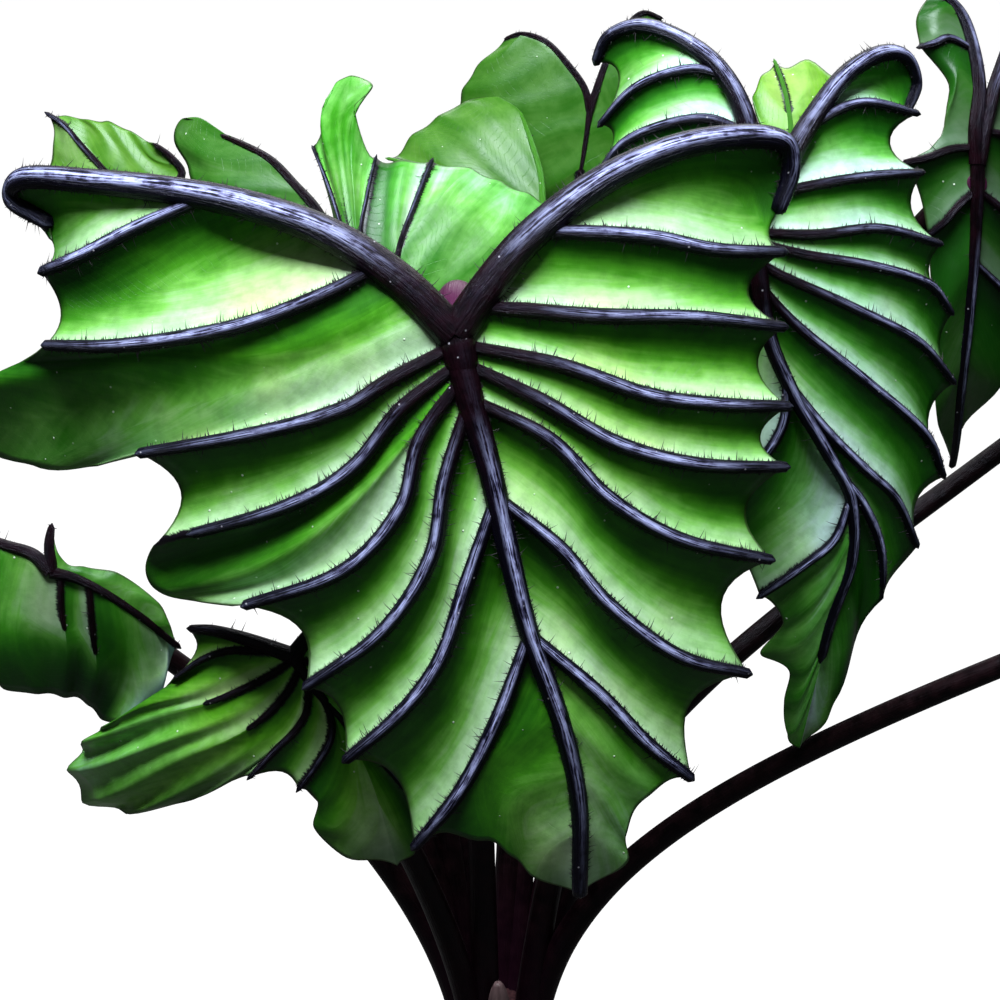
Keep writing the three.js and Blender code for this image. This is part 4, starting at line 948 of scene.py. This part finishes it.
def leaf_shape(leaf):
    """The bend of a leaf and its place in the plant, as a function of points on its sheet."""
    facing, up, spin = (math.radians(leaf[key]) for key in ("faces", "up", "spin"))
    normal = np.array([math.sin(facing) * math.cos(up), -math.cos(facing) * math.cos(up),
                       math.sin(up)])
    level = np.array([math.cos(facing), math.sin(facing), 0])
    across = (level * math.cos(spin) + np.cross(normal, level) * math.sin(spin)
              + normal * normal.dot(level) * (1 - math.cos(spin)))
    along = np.cross(normal, across)
    twist = math.radians(leaf["twist"]) / 100
    roll_radius, fall_radius, lift_radius = leaf["radii"]

    def bent(position, height, radius):
        angle = position / radius
        return (radius + height) * np.sin(angle), (radius + height) * np.cos(angle) - radius

    def shape(points, lift=0.0):
        u, v, z = (points * leaf["scale"]).T
        u, w = bent(u, z + lift, roll_radius)
        turn = twist * v
        u, w = u * np.cos(turn) - w * np.sin(turn), u * np.sin(turn) + w * np.cos(turn)
        v, w = bent(v, w, np.where(v < 0, fall_radius, lift_radius))
        return leaf["hub"] + np.outer(u, across) + np.outer(v, along) + np.outer(w, normal)

    return shape


def spaced(start, end, parts):
    return [start + (end - start) * k / parts for k in range(parts + 1)]


def spine_stations(leaf, side, other, rows):
    """Places along a half's spine where the blade has a corner, from the lobe's tip to the leaf's."""
    shared = sorted({r["at"] for r in (*side.ribs, *other.ribs) if r["at"] > 0})
    marks = [*[r["at"] for r in side.ribs if r["at"] < 0], 0.0, *shared]
    between = [marks[0]]
    for a, b in zip(marks, marks[1:]):
        length = (side.lobe if b <= 0 else side.midrib).length * (b - a) * leaf["scale"]
        between += spaced(a, b, max(1, round(length / STATION_GAP)))[1:]
    return spaced(-1, marks[0], rows)[:-1] + between + spaced(marks[-1], 1, rows)[1:]


def thick_mesh(name, top, faces, maps):
    """A sheet given its thickness, from its upper side's points and faces and its maps' values."""
    normals = np.zeros_like(top)
    for first, *others in faces:
        for b, c in zip(others, others[1:]):
            slope = np.cross(top[b] - top[first], top[c] - top[first])
            for corner in (first, b, c):
                normals[corner] += slope
    normals /= np.maximum(1e-12, np.linalg.norm(normals, axis=1))[:, None]
    open_edges = {}
    for corners, info in zip(faces, maps):
        for k, corner in enumerate(corners):
            before = corners[k - 1]
            if open_edges.pop((corner, before), None) is None:
                open_edges[(before, corner)] = (info[k - 1], info[k])
    below = len(top)
    all_faces = faces + [[c + below for c in reversed(corners)] for corners in faces]
    all_maps = maps + [info[::-1] for info in maps]
    for (a, b), (info_a, info_b) in open_edges.items():
        all_faces.append([a, a + below, b + below, b])
        all_maps.append([info_a, info_a, info_b, info_b])
    mesh = bpy.data.meshes.new(name)
    points = np.vstack([top, top - normals * BLADE_THICKNESS]) * MM
    mesh.from_pydata(points.tolist(), [], all_faces)
    under = [len(faces) <= k < 2 * len(faces) for k in range(len(all_faces))]
    mesh.polygons.foreach_set("material_index", under)
    mesh.polygons.foreach_set("use_smooth", [True] * len(all_faces))
    values = np.array([corner for info in all_maps for corner in info], np.float32)
    for label, first in (("Panel", 0), ("Measure", 2), ("Edge", 4), ("Leaf", 6)):
        layer = mesh.uv_layers.new(name=label)
        layer.data.foreach_set("uv", values[:, first:first + 2].ravel())
    mesh.update()
    return mesh


def blade_mesh(leaf, sides, shape):
    """The blade as a closed mesh. Its maps hold where each corner lies between ribs and margins."""
    rows, columns = FINE_GRID.get(leaf["name"], PLAIN_GRID)
    points, known, faces, maps = [], {}, [], []
    scale = leaf["scale"]
    mint_and_painted_light, young = LEAF_LOOK[leaf["name"]][:2]
    midrib_end = MIDRIB_COVERS.get(leaf["name"], 1.0)
    random = np.random.default_rng(len(leaf["name"]) + abs(leaf["hub"][0]))
    t_line = np.arange(columns + 1) / columns
    s_line = np.arange(rows + 1) / rows

    def keep(key, point):
        if key not in known:
            known[key] = len(points)
            points.append(point)
        return known[key]

    for side, other in zip(sides, reversed(sides)):
        hand = side.hand
        stations = spine_stations(leaf, side, other, rows)

        def spine_index(at):
            key = (hand if at < -1e-6 else "midrib", round(at, 4))
            return keep(key, side.spine(at)[0])

        def add_face(corners, info):
            kept = [c for k, c in enumerate(corners) if c[0] != corners[k - 1][0]]
            if len({c[0] for c in kept}) < 3:
                return
            if hand == "left":
                kept.reverse()
            faces.append([c[0] for c in kept])
            maps.append([info(c[1], c[2]) for c in kept])

        for k in range(len(side.edges) - 1):
            a_at, b_at = side.ats[k], side.ats[k + 1]
            tint = random.random()
            grid, widths = zip(*[side.panel(k, np.full(columns + 1, s), t_line) for s in s_line])
            middle_widths = [width[columns // 2] * scale for width in widths]
            lengths = np.linalg.norm(grid[-1] - grid[0], axis=1) * scale
            painted_tone_a, painted_tone_b = side.tones[k:k + 2]

            def info(s, t):
                length = float(np.interp(t, t_line, lengths))
                # The painted light or shade of the panel's two lines, shown from TONE_START on.
                shown = min(1.0, max(0.0, (s - TONE_START) / TONE_SPAN))
                painted_tone_change = (painted_tone_a * (1 - t) + painted_tone_b * t) * shown
                width = float(np.interp(s, s_line, middle_widths))
                beyond = (a_at * (1 - t) + b_at * t - midrib_end) / PAST_MIDRIB_SPAN
                from_rib = max(side.rib_distance(k, s, t, width), PAST_MIDRIB * min(1.0, beyond))
                return (s, side.between_ribs(k, s, t), s * length, from_rib,
                        (1 - s) * length, tint, mint_and_painted_light + painted_tone_change, young * (1 + min(0.0, painted_tone_change)))

            span = max(1e-9, b_at - a_at)
            above = [(spine_index(at), 0.0, (at - a_at) / span if b_at > a_at else 0.5)
                     for at in stations if a_at - 1e-6 < at < b_at + 1e-6]
            for row in range(1, rows + 1):
                s = s_line[row]
                current = []
                for column, t in enumerate(t_line):
                    key = (hand, k, row, column)
                    if k == 0 and column == 0:
                        index = spine_index(a_at + (-1 - a_at) * s)
                    elif k == len(side.edges) - 2 and column == columns:
                        index = spine_index(b_at + (1 - b_at) * s)
                    else:
                        # The last column of a panel is the first of the next one.
                        key = (hand, k + 1, row, 0) if column == columns else key
                        index = keep(key, grid[row][column])
                    current.append((index, s, t))
                i = j = 0
                while i + 1 < len(above) or j + 1 < len(current):
                    if row > 1:
                        add_face([above[i], above[i + 1], current[j + 1], current[j]], info)
                        i, j = i + 1, j + 1
                    elif (i + 1) / (len(above) - 1 or 0.5) < (j + 1) / columns:
                        add_face([above[i], above[i + 1], current[j]], info)
                        i += 1
                    else:
                        add_face([above[i], current[j + 1], current[j]], info)
                        j += 1
                above = current

        outward = 1 if hand == "right" else -1
        inner = outer = (spine_index(0.0), 0.0, 0.0)
        for at in [a for a in reversed(stations) if a < -1e-6]:
            step = side.lobe(min(1, -at + 0.01))[0] - side.lobe(max(0, -at - 0.01))[0]
            step /= np.linalg.norm(step[:2])
            width = leaf["ribWidth"] * (STRIP_LEAST + STRIP_MORE * math.sin(-math.pi * at))
            beside = np.array([-step[1] * outward, step[0] * outward, -STRIP_SLOPE])
            index = keep((hand, "strip", round(at, 4)), side.spine(at)[0] + beside * width)
            length = side.lobe.length * -at * scale
            now_in, now_out = (spine_index(at), length, 0.0), (index, length, 1.0)
            add_face([inner, now_in, now_out, outer], lambda s, t: (
                0.5, 0.5, s, t * width * scale, (1 - t) * width * scale, 0.5, mint_and_painted_light, young))
            inner, outer = now_in, now_out

    return thick_mesh(leaf["name"] + "_blade", shape(np.array(points)), faces, maps)


def map_parts(place, name):
    """The two values that a blade's map of this name holds."""
    return split(Level(add_node(place.tree, "ShaderNodeUVMap", uv_map=name)))[:2]


def joined(x, y, z=0.0):
    return Level(add_node(x.tree, "ShaderNodeCombineXYZ", {0: x, 1: y, 2: z}))


def side_veins(place, along, from_rib, width):
    """Fine side veins that run out aslant from the ribs."""
    wobble = noise(place, 90, 2) * 5.0 + (from_rib * -0.7 + along)
    return ramp(wobble.maths("PINGPONG", 2.1), (0.0, 1.0), (width, 0.0))


def flecks(place, scale, radius, edge, share):
    """Small pale spots: one in each chosen cell of a pattern, with a soft edge."""
    cells = add_node(place.tree, "ShaderNodeTexVoronoi", {"Vector": place, "Scale": scale})
    dot = ramp(Level(cells, "Distance"), (radius, 1.0), (edge, 0.0))
    chance = Level(add_node(place.tree, "ShaderNodeSeparateColor", {0: Level(cells, "Color")}))
    return dot * ramp(chance, (1 - share, 0.0), (1.02 - share, 1.0))


blade_skin, place, shader = new_material("blade upper side")
outward, across = map_parts(place, "Panel")
along, from_rib = map_parts(place, "Measure")
from_margin, tint = map_parts(place, "Edge")
mint_and_painted_light, young = map_parts(place, "Leaf")
speck = noise(place, 150, 5, 0.6)

# Painted light and shade: the green goes from painted shade deep under a rib to a pale painted
# highlight above the next one, most so near the midrib. It is darker towards the blade's outer end,
# where painted shade falls as the blade curls away, and paler on the blue-green leaves.
stripes = noise(joined(along * 0.022, from_rib * 0.17, tint * 37.0), 1.6, 3)
painted_light_level = (noise(place, 26, 4) - 0.5) * 0.6 + across + (stripes - 0.5) * 0.34 + 0.04
painted_light_level = painted_light_level - ramp(outward, (0.45, 0.0), (1.0, 0.16)) + mint_and_painted_light.maths("MAXIMUM", 0.0) * 0.18
green = ramp(painted_light_level, (0.0, (0.007, 0.068, 0.002)), (0.20, (0.014, 0.135, 0.005)),
             (0.40, (0.042, 0.270, 0.012)), (0.58, (0.150, 0.460, 0.080)),
             (0.76, (0.350, 0.620, 0.330)), (1.0, (0.500, 0.690, 0.570)))
yellowish = ramp(noise(place, 13, 2), (0.48, 0.0), (0.68, 0.75))
green = mixed(yellowish, green, (0.94, 1.0, 0.50), "MULTIPLY")
green = mixed((young * painted_light_level).clamped(0.75), green, (0.320, 0.600, 0.020))
green = mixed(mint_and_painted_light.clamped(), green, (0.86, 1.0, 1.5), "MULTIPLY")
# Below 0 the whole blade darkens: partly its own deeper green, partly painted shade.
green = mixed(mint_and_painted_light.clamped(-1.0), green, (0.004, 0.036, 0.003))
green = mixed(tint * 0.12, green, (0.016, 0.130, 0.008))
green = mixed(ramp(speck, (0.35, 0.25), (0.6, 0.0)), green, (0.006, 0.060, 0.004))

# The veins are a little darker, and the dark of a rib bleeds into the blade beside it.
veins = side_veins(place, along, from_rib, 0.12)
green = mixed(veins * 0.10, green, (0.012, 0.105, 0.012))
margin = ramp(noise(place, 120, 2) * -1.2 + from_margin, (0.0, 0.8), (0.45, 0.0))
green = mixed(margin, green, (0.030, 0.060, 0.016))
fringe = noise(joined(along, from_rib * 0.25), 1.3, 2) * 3.4
green = mixed(ramp(from_rib - fringe, (0.0, 1.0), (1.0, 0.0)), green, (0.006, 0.004, 0.008))
fleck = flecks(place, 210.0, 0.07, 0.13, 0.14)
connect(shader, {
    "Base Color": mixed(fleck * 0.75, green, (0.72, 0.85, 0.72)),
    "Roughness": ramp(speck, (0.3, 0.28), (0.7, 0.42)),
    "Specular IOR Level": 0.22,
    "Specular Tint": (0.86, 0.98, 1.0, 1),
    "Normal": bumped(veins * -0.12 + speck * 0.35 + fleck * 1.2, 0.0007, 0.55)})

under_skin, place, shader = new_material("blade under side")
along, from_rib = map_parts(place, "Measure")
from_margin = map_parts(place, "Edge")[0]
under = ramp(noise(place, 30, 4), (0.3, (0.030, 0.120, 0.020)), (0.7, (0.080, 0.240, 0.050)))
veins = side_veins(place, along, from_rib, 0.16)
under = mixed(veins * 0.30, under, (0.020, 0.085, 0.020))
under = mixed(ramp(from_rib * 0.3, (0.35, 1.0), (0.75, 0.0)), under, (0.030, 0.016, 0.024))
margin = ramp(from_margin, (0.3, 1.0), (1.0, 0.0))
connect(shader, {
    "Base Color": mixed(margin, under, (0.030, 0.012, 0.025)),
    "Roughness": 0.55,
    "Normal": bumped(veins, 0.0005, 0.5)})

leaf_parts = []
for leaf in LEAVES:
    sides = [Side(leaf["sheet"], "right"), Side(leaf["sheet"], "left")]
    shape = leaf_shape(leaf)
    mesh = blade_mesh(leaf, sides, shape)
    add_piece(leaf["name"] + "_leaf_blade", mesh, blade_skin, [leaf["name"] + "_blade"])
    mesh.materials.append(under_skin)
    leaf_parts.append((leaf, sides, shape))

# Ribs: raised round veins, grown in one with the blade, blue-black with fine grooves along them and
# maroon at the hub. A Geometry Nodes tree sweeps a half-round section along each rib's line.

MIDRIB_HALF = (6.6, 5.1, 4.3, 4.0, 3.4)
LOBE_HALF = (7.6, 6.8, 5.8, 5.0, 3.4)
SIDE_HALF = (2.4, 3.3, 3.4, 3.1, 2.3)
SWELLING_HALF = (1.2, 5.2, 7.4, 6.8, 5.2)
SWELLING_LENGTH = 34
RIB_STEP = 2.2
RIB_SINK = 0.4
TIP_LENGTH = 3.0
MAROON_REACH = 55

grown_tree, given = new_tree(
    "grown round", ("Sides", "NodeSocketInt", 20), ("Height", "NodeSocketFloat", 1.0),
    ("Depth", "NodeSocketFloat", 1.0), ("Material", "NodeSocketMaterial"))
line = Level(add_node(grown_tree, "GeometryNodeMeshToCurve", {"Mesh": given["Geometry"]}))
faced = Level(add_node(grown_tree, "GeometryNodeSetCurveNormal", {
    "Curve": line, "Normal": stored(grown_tree, "up")}, mode="FREE"))
across, beside, _ = split(Level(add_node(grown_tree, "GeometryNodeInputPosition")))
share = Level(add_node(grown_tree, "ShaderNodeMix", {
    0: across.maths("GREATER_THAN", 0.0), 2: given["Depth"], 3: given["Height"]}, data_type="FLOAT"))
circle = Level(add_node(grown_tree, "GeometryNodeCurvePrimitiveCircle", {
    "Resolution": given["Sides"], "Radius": 1.0}))
marked = Level(add_node(grown_tree, "GeometryNodeStoreNamedAttribute", {
    "Geometry": circle, "Name": "round", "Value": beside}, data_type="FLOAT", domain="POINT"))
section = Level(add_node(grown_tree, "GeometryNodeSetPosition", {
    "Geometry": marked, "Position": joined(across * share, beside)}))
swept = Level(add_node(grown_tree, "GeometryNodeCurveToMesh", {
    "Curve": faced, "Profile Curve": section, "Scale": stored(grown_tree, "thick", "FLOAT"),
    "Fill Caps": True}))
end_tree(grown_tree, given, Level(add_node(grown_tree, "GeometryNodeSetShadeSmooth", {0: swept})))


def lines_mesh(name, lines):
    """Lines as a mesh of edges: (points, half widths, ups, lengths along, tones, painted highlights).
    """
    mesh = bpy.data.meshes.new(name)
    edges, start = [], 0
    for line in lines:
        edges += [(start + k, start + k + 1) for k in range(len(line[0]) - 1)]
        start += len(line[0])
    points, halves, ups, *values = (np.concatenate(column) for column in zip(*lines))
    mesh.from_pydata((points * MM).tolist(), edges, [])
    mesh.attributes.new("up", "FLOAT_VECTOR", "POINT").data.foreach_set(
        "vector", ups.astype(np.float32).ravel())
    for label, column in zip(("thick", "along", "tone", "painted_highlight"), (halves * MM, *values)):
        mesh.attributes.new(label, "FLOAT", "POINT").data.foreach_set(
            "value", column.astype(np.float32))
    return mesh


def sheet_normal(shape, flat):
    rise = shape(flat, 1.0) - shape(flat, 0.0)
    return rise / np.linalg.norm(rise, axis=1)[:, None]


def rounded_end(s_values, length):
    """A factor that rounds a rib off over its last few millimetres."""
    left = np.clip((1 - s_values) * length / TIP_LENGTH, 0, 1)
    return np.sqrt(np.maximum(0.03, 1 - (1 - left) ** 2))


def rib_lines(leaf, sides, shape):
    """Every rib of a leaf as (points, half widths, ups, lengths along, tones, painted highlights)."""
    scale = leaf["scale"]
    colour = LEAF_LOOK[leaf["name"]][2]
    made = []

    def add(at, length, widths, reach=1.0, overrun=0.0, highlight_side=1):
        length = length * scale * reach
        count = max(6, round((length + overrun) / RIB_STEP))
        s = np.linspace(0, 1, count + 1)
        flat = at(s * reach * (1 + overrun / max(1.0, length)))
        world = shape(flat, -RIB_SINK)
        halves = np.interp(s, np.linspace(0, 1, len(widths)), widths) * leaf["ribWidth"] / 9
        halves *= rounded_end(s, length + overrun)
        hub_distance = np.linalg.norm(world - leaf["hub"], axis=1)
        near_hub = np.exp(-hub_distance / MAROON_REACH)
        maroon = colour + 0 * s if colour < 0 else np.maximum(near_hub, colour)
        # How much painted highlight a rib carries: little at the maroon hub, most along its middle,
        # faded at the tip.
        painted_highlight = (1 - abs(maroon)) * np.interp(s, (0.0, 0.2, 0.66, 0.92), (0.7, 1.2, 1.1, 0.1))
        made.append((world, halves, sheet_normal(shape, flat), s * length, maroon,
                     painted_highlight * highlight_side))

    midrib = sides[0].midrib
    add(midrib, midrib.length, MIDRIB_HALF, MIDRIB_COVERS.get(leaf["name"], 1.0), overrun=2.5)
    if leaf["name"] == "front":
        # The lobe ribs close over the top of the midrib in a soft swelling.
        add(lambda t: midrib(t * 0.1) + np.outer(1 - t, (-1.5, 10.0, 0.0)), SWELLING_LENGTH,
            SWELLING_HALF)
    for side in sides:
        highlight_side = 1 if side.hand == "right" else -1
        add(side.lobe, side.lobe.length, LOBE_HALF, overrun=1.0, highlight_side=highlight_side)
        for drawn, line in zip(side.ribs, side.lines):
            if not drawn["fold"]:
                add(line, line.length, SIDE_HALF, drawn["covers"], 2.0, highlight_side)
    return made


def line_value(place, name):
    """A value that the swept lines carry."""
    return Level(add_node(place.tree, "ShaderNodeAttribute", attribute_name=name), "Fac")


rib_skin, place, shader = new_material("rib skin")
around, reddish, painted_highlight = (line_value(place, name) for name in ("round", "tone", "painted_highlight"))
groove = noise(joined(line_value(place, "along") * 0.014, around * 1.25), 4.2, 5, 0.62)
mottle = noise(place, 210, 3)
streak = (mottle - 0.5) * 0.30 + groove

# Painted highlight: a pale blue-grey highlight is painted along the crest, set a little to one side,
# broken by dark grooves, and thinning out towards the tip.
sideways = painted_highlight.maths("SIGN") * 0.22 + around
from_crest = streak - 0.5 + sideways.maths("ABSOLUTE")
crest = ramp(from_crest, (0.16, 1.0), (0.60, 0.0))
skin = ramp(streak, (0.36, (0.0008, 0.0006, 0.0020)), (0.66, (0.0040, 0.0034, 0.0100)))
highlight_colour = ramp(streak, (0.42, (0.002, 0.002, 0.008)), (0.48, (0.130, 0.130, 0.270)),
             (0.57, (0.500, 0.560, 0.950)))
skin = mixed((crest * painted_highlight.maths("ABSOLUTE")).clamped(), skin, highlight_colour)
maroon = ramp(mottle, (0.3, (0.0015, 0.0003, 0.0008)), (0.7, (0.0090, 0.0018, 0.0040)))
skin = mixed(ramp(reddish, (0.22, 0.0), (0.55, 0.95)), skin, maroon)
skin = mixed(reddish.clamped(-1.0), skin, (0.060, 0.240, 0.020))
fleck = flecks(place, 300.0, 0.08, 0.16, 0.12)
connect(shader, {
    "Base Color": mixed(fleck * 0.6, skin, (0.60, 0.60, 0.70)),
    "Roughness": ramp(streak, (0.35, 0.38), (0.7, 0.20)),
    "Specular IOR Level": 0.15,
    "Specular Tint": (0.74, 0.78, 1.0, 1),
    "Normal": bumped(mottle * 0.2 + groove, 0.0016, 0.8)})

leaf_ribs = {}
for leaf, sides, shape in leaf_parts:
    leaf_ribs[leaf["name"]] = lines = rib_lines(leaf, sides, shape)
    mesh = grown(lines_mesh("rib_lines", lines), grown_tree, {
        "Sides": 20, "Height": 0.8, "Depth": 0.5, "Material": rib_skin})
    add_piece(leaf["name"] + "_leaf_ribs", mesh, rib_skin, [leaf["name"] + "_ribs"])

# Rib hairs: short stiff dark hairs along both edges of the ribs, dense and tiny with a longer one
# here and there. A Geometry Nodes tree sets a curved tapered hair on each marked point.

HAIR_GAP = {"front": 0.75, "right": 1.8}
PLAIN_HAIR_GAP = 6.0
BARE_RIB = 12
LONG_HAIR_SHARE = 0.09
LONG_HAIR = (2.8, 5.6)
SHORT_HAIR = (0.9, 2.0)
# A hair's thickness, as a scale of the curved one below, which is 0.1 in radius and 1 long.
LONG_HAIR_WIDTH = (2.2, 3.2)
SHORT_HAIR_WIDTH = (1.7, 3.0)
HAIR_FALL = 0.28

hair_tree, given = new_tree("rib hairs", ("Material", "NodeSocketMaterial"))
bow = Level(add_node(hair_tree, "GeometryNodeCurveQuadraticBezier", {
    "Resolution": 3, "Start": (0.0, 0.0, 0.0), "Middle": (0.0, 0.05, 0.55), "End": (0.0, 0.3, 1.0)}))
taper = Level(add_node(hair_tree, "GeometryNodeSplineParameter"), "Factor") * -1.0 + 1.05
stem = Level(add_node(hair_tree, "GeometryNodeCurvePrimitiveCircle", {
    "Resolution": 3, "Radius": 0.1}))
hair = Level(add_node(hair_tree, "GeometryNodeCurveToMesh", {
    "Curve": bow, "Profile Curve": stem, "Scale": taper, "Fill Caps": True}))
end_tree(hair_tree, given, Level(add_node(hair_tree, "GeometryNodeInstanceOnPoints", {
    "Points": given["Geometry"], "Instance": hair, "Rotation": stored(hair_tree, "turn"),
    "Scale": stored(hair_tree, "size")})))

hair_skin, place, shader = new_material("hair")
connect(shader, {
    "Base Color": ramp(noise(place, 300, 2), (0.3, (0.002, 0.0015, 0.004)),
                       (0.7, (0.010, 0.006, 0.013))),
    "Roughness": 0.6})

for leaf, sides, shape in leaf_parts:
    random = np.random.default_rng(100 + abs(leaf["hub"][0]))
    places, turns, sizes = [], [], []
    gap = HAIR_GAP.get(leaf["name"], PLAIN_HAIR_GAP)
    for world, halves, ups, lengths, _, _ in leaf_ribs[leaf["name"]]:
        count = int(lengths[-1] / gap) if lengths[-1] >= BARE_RIB else 0
        for edge in [-1] * count + [1] * count:
            x = random.uniform(0.06, 0.97) * (len(world) - 1)
            k = min(int(x), len(world) - 2)
            w = x - k
            base = world[k] * (1 - w) + world[k + 1] * w
            along = world[k + 1] - world[k]
            along /= np.linalg.norm(along)
            up = ups[k]
            beside = np.cross(up, along) * edge
            half_width = halves[k] * (1 - w) + halves[k + 1] * w
            long = random.random() < LONG_HAIR_SHARE
            length = random.uniform(*(LONG_HAIR if long else SHORT_HAIR))
            thickness = random.uniform(*(LONG_HAIR_WIDTH if long else SHORT_HAIR_WIDTH))
            down = HAIR_FALL * random.uniform(-0.9, 0.9)
            places.append(base + (beside * 0.86 + up * down) * half_width)
            lean = random.normal(0, 0.35)
            aim = Vector(beside * 0.93 + along * lean - up * random.uniform(0.15, 0.5))
            turns.append(aim.to_track_quat("Z", "Y").to_euler())
            sizes.append((thickness * MM, thickness * MM, length * MM))
    spots = bpy.data.meshes.new("hair_spots")
    spots.from_pydata((np.array(places) * MM).tolist(), [], [])
    for label, values in (("turn", turns), ("size", sizes)):
        spots.attributes.new(label, "FLOAT_VECTOR", "POINT").data.foreach_set(
            "vector", np.array(values, np.float32).ravel())
    mesh = grown(spots, hair_tree, {"Material": hair_skin})
    add_piece(leaf["name"] + "_leaf_hairs", mesh, hair_skin, [])

# Stalks: long round leaf stalks, near black with a maroon and lavender cast, thicker where they
# leave the leaf bases. Each is swept by the same tree along one smooth curve to its leaf's hub.

STALK_RING = 16
STALK_FOOT_HEIGHT = 350
STALK_HALF = (7.6, 6.6, 5.9, 5.4, 5.0)
STALK_STEPS = 72
STALK_END = {"far_left": 69, "front": 70}
# The flushed purple at a stalk's top, from full to none, and at its foot, in millimetres.
TOP_FLUSH = {"front": (80, 130)}
PLAIN_TOP_FLUSH = (8, 20)
FOOT_FLUSH = 110
# The front stalk's top stands up as a round ball behind its leaf's notch.
BALL_SWELLING = {"front": 0.6}
BALL_LIFT = 3.0

stalk_skin, place, shader = new_material("stalk skin")
groove = noise(joined(line_value(place, "along") * 0.02, line_value(place, "round") * 2.4), 4.0, 4)
mottle = noise(place, 120, 4)
skin = mixed(ramp(mottle, (0.35, 0.0), (0.7, 1.0)), (0.0015, 0.0006, 0.0009),
             (0.0090, 0.0030, 0.0042))
skin = mixed(ramp(groove, (0.55, 0.0), (0.8, 0.35)), skin, (0.018, 0.011, 0.016))
connect(shader, {
    "Base Color": mixed(line_value(place, "tone"), skin, (0.058, 0.010, 0.040)),
    "Roughness": ramp(mottle, (0.3, 0.30), (0.7, 0.44)),
    "Specular IOR Level": 0.10,
    "Specular Tint": (0.85, 0.85, 1.0, 1),
    "Normal": bumped(mottle * 0.3 + groove, 0.0008, 0.6)})

for leaf, sides, shape in leaf_parts:
    seat = math.radians(leaf["seat"])
    foot = np.array([STALK_RING * math.cos(seat), STALK_RING * math.sin(seat), STALK_FOOT_HEIGHT])
    joint = np.array([[0.0, -leaf["join"], 0.0]])
    hub = shape(joint, -BLADE_THICKNESS)[0]
    behind = shape(joint, -1.0)[0] - shape(joint, 0.0)[0]
    upward = shape(joint + np.array([0.0, 1.0, 0.0]))[0] - shape(joint)[0]
    reach = np.linalg.norm(foot - hub)
    rise = foot + np.array([0, 0, reach * leaf["rise"]])
    bend = hub + behind * reach * leaf["bend"] + upward * leaf["knee"]
    s = np.linspace(0, 1, STALK_STEPS + 1)
    world = (np.outer((1 - s) ** 3, foot) + np.outer(3 * s * (1 - s) ** 2, rise)
             + np.outer(3 * s**2 * (1 - s), bend) + np.outer(s**3, hub))
    steps = np.linalg.norm(np.diff(world, axis=0), axis=1)
    lengths = np.concatenate([[0], np.cumsum(steps)])
    side_on = np.cross(np.gradient(world, axis=0), np.array([1.0, 0, 0]))
    ups = side_on / np.linalg.norm(side_on, axis=1)[:, None]
    flush = np.interp(lengths[-1] - lengths, TOP_FLUSH.get(leaf["name"], PLAIN_TOP_FLUSH), (0.9, 0.0))
    swelling = BALL_SWELLING.get(leaf["name"], 0.0)
    halves = np.interp(s, np.linspace(0, 1, len(STALK_HALF)), STALK_HALF) * (1 + swelling * flush)
    world[:, 2] += (BALL_LIFT * flush if swelling else 0.0)
    flush = np.maximum(flush, np.interp(lengths, (0, FOOT_FLUSH), (0.30, 0.0)))
    kept = slice(0, STALK_END.get(leaf["name"], STALK_STEPS + 1))
    line = [part[kept] for part in (world, halves, ups, lengths, flush, flush)]
    mesh = grown(lines_mesh("stalk_line", [line]), grown_tree, {
        "Sides": 28, "Height": 1.0, "Depth": 1.0, "Material": stalk_skin})
    add_piece(leaf["name"] + "_leaf_stalk", mesh, stalk_skin, [leaf["name"] + "_stalk"])

# Stage: a plain pale floor, soft studio lights and the camera, which looks down on the front leaf
# from a little above it, as the photograph does.

EYE = (0.0, -1.1123, 1.0700)
LOOK_DOWN = 20.0
LENS = 90.0
FLOOR_REACH = 60.0

floor_mesh = bpy.data.meshes.new("floor")
corners = [(x * FLOOR_REACH, y * FLOOR_REACH, 0) for x, y in ((-1, -1), (1, -1), (1, 1), (-1, 1))]
floor_mesh.from_pydata(corners, [], [(0, 1, 2, 3)])
floor = placed("floor", floor_mesh)
floor_paint, place, shader = new_material("pale floor")
seen = Level(add_node(place.tree, "ShaderNodeLightPath"), "Is Camera Ray")
connect(shader, {
    "Base Color": (0.09, 0.09, 0.09, 1),
    "Roughness": 0.9,
    "Specular IOR Level": 0.1,
    "Emission Color": (1, 1, 1, 1),
    "Emission Strength": seen})
floor_mesh.materials.append(floor_paint)

studio = bpy.data.worlds.new("studio")
studio.use_nodes = True
connect(studio.node_tree.nodes["Background"], {"Color": (1, 1, 1, 1), "Strength": 0.09})
scene.world = studio


def add_light(name, place, aim, size, power, colour=(1, 1, 1)):
    lamp = bpy.data.lights.new(name, "AREA")
    lamp.shape = "RECTANGLE"
    lamp.size, lamp.size_y = size
    lamp.energy = power
    lamp.color = colour
    holder = placed(name, lamp)
    holder.location = place
    holder.rotation_euler = (Vector(aim) - Vector(place)).to_track_quat("-Z", "Y").to_euler()


add_light("top_softbox", (-0.2, -0.45, 2.2), (0.0, -0.1, 0.8), (0.9, 0.7), 70, (0.95, 0.98, 1.0))
add_light("back_softbox", (0.3, 1.5, 1.8), (0.0, 0.0, 0.8), (1.8, 1.0), 26)

camera_data = bpy.data.cameras.new("camera")
camera_data.lens = LENS
camera_data.sensor_width = 36.0
camera_data.clip_start = 0.05
camera_data.clip_end = 200.0
camera = placed("camera", camera_data)
camera.location = EYE
camera.rotation_euler = (math.radians(90 - LOOK_DOWN), 0, 0)
scene.camera = camera
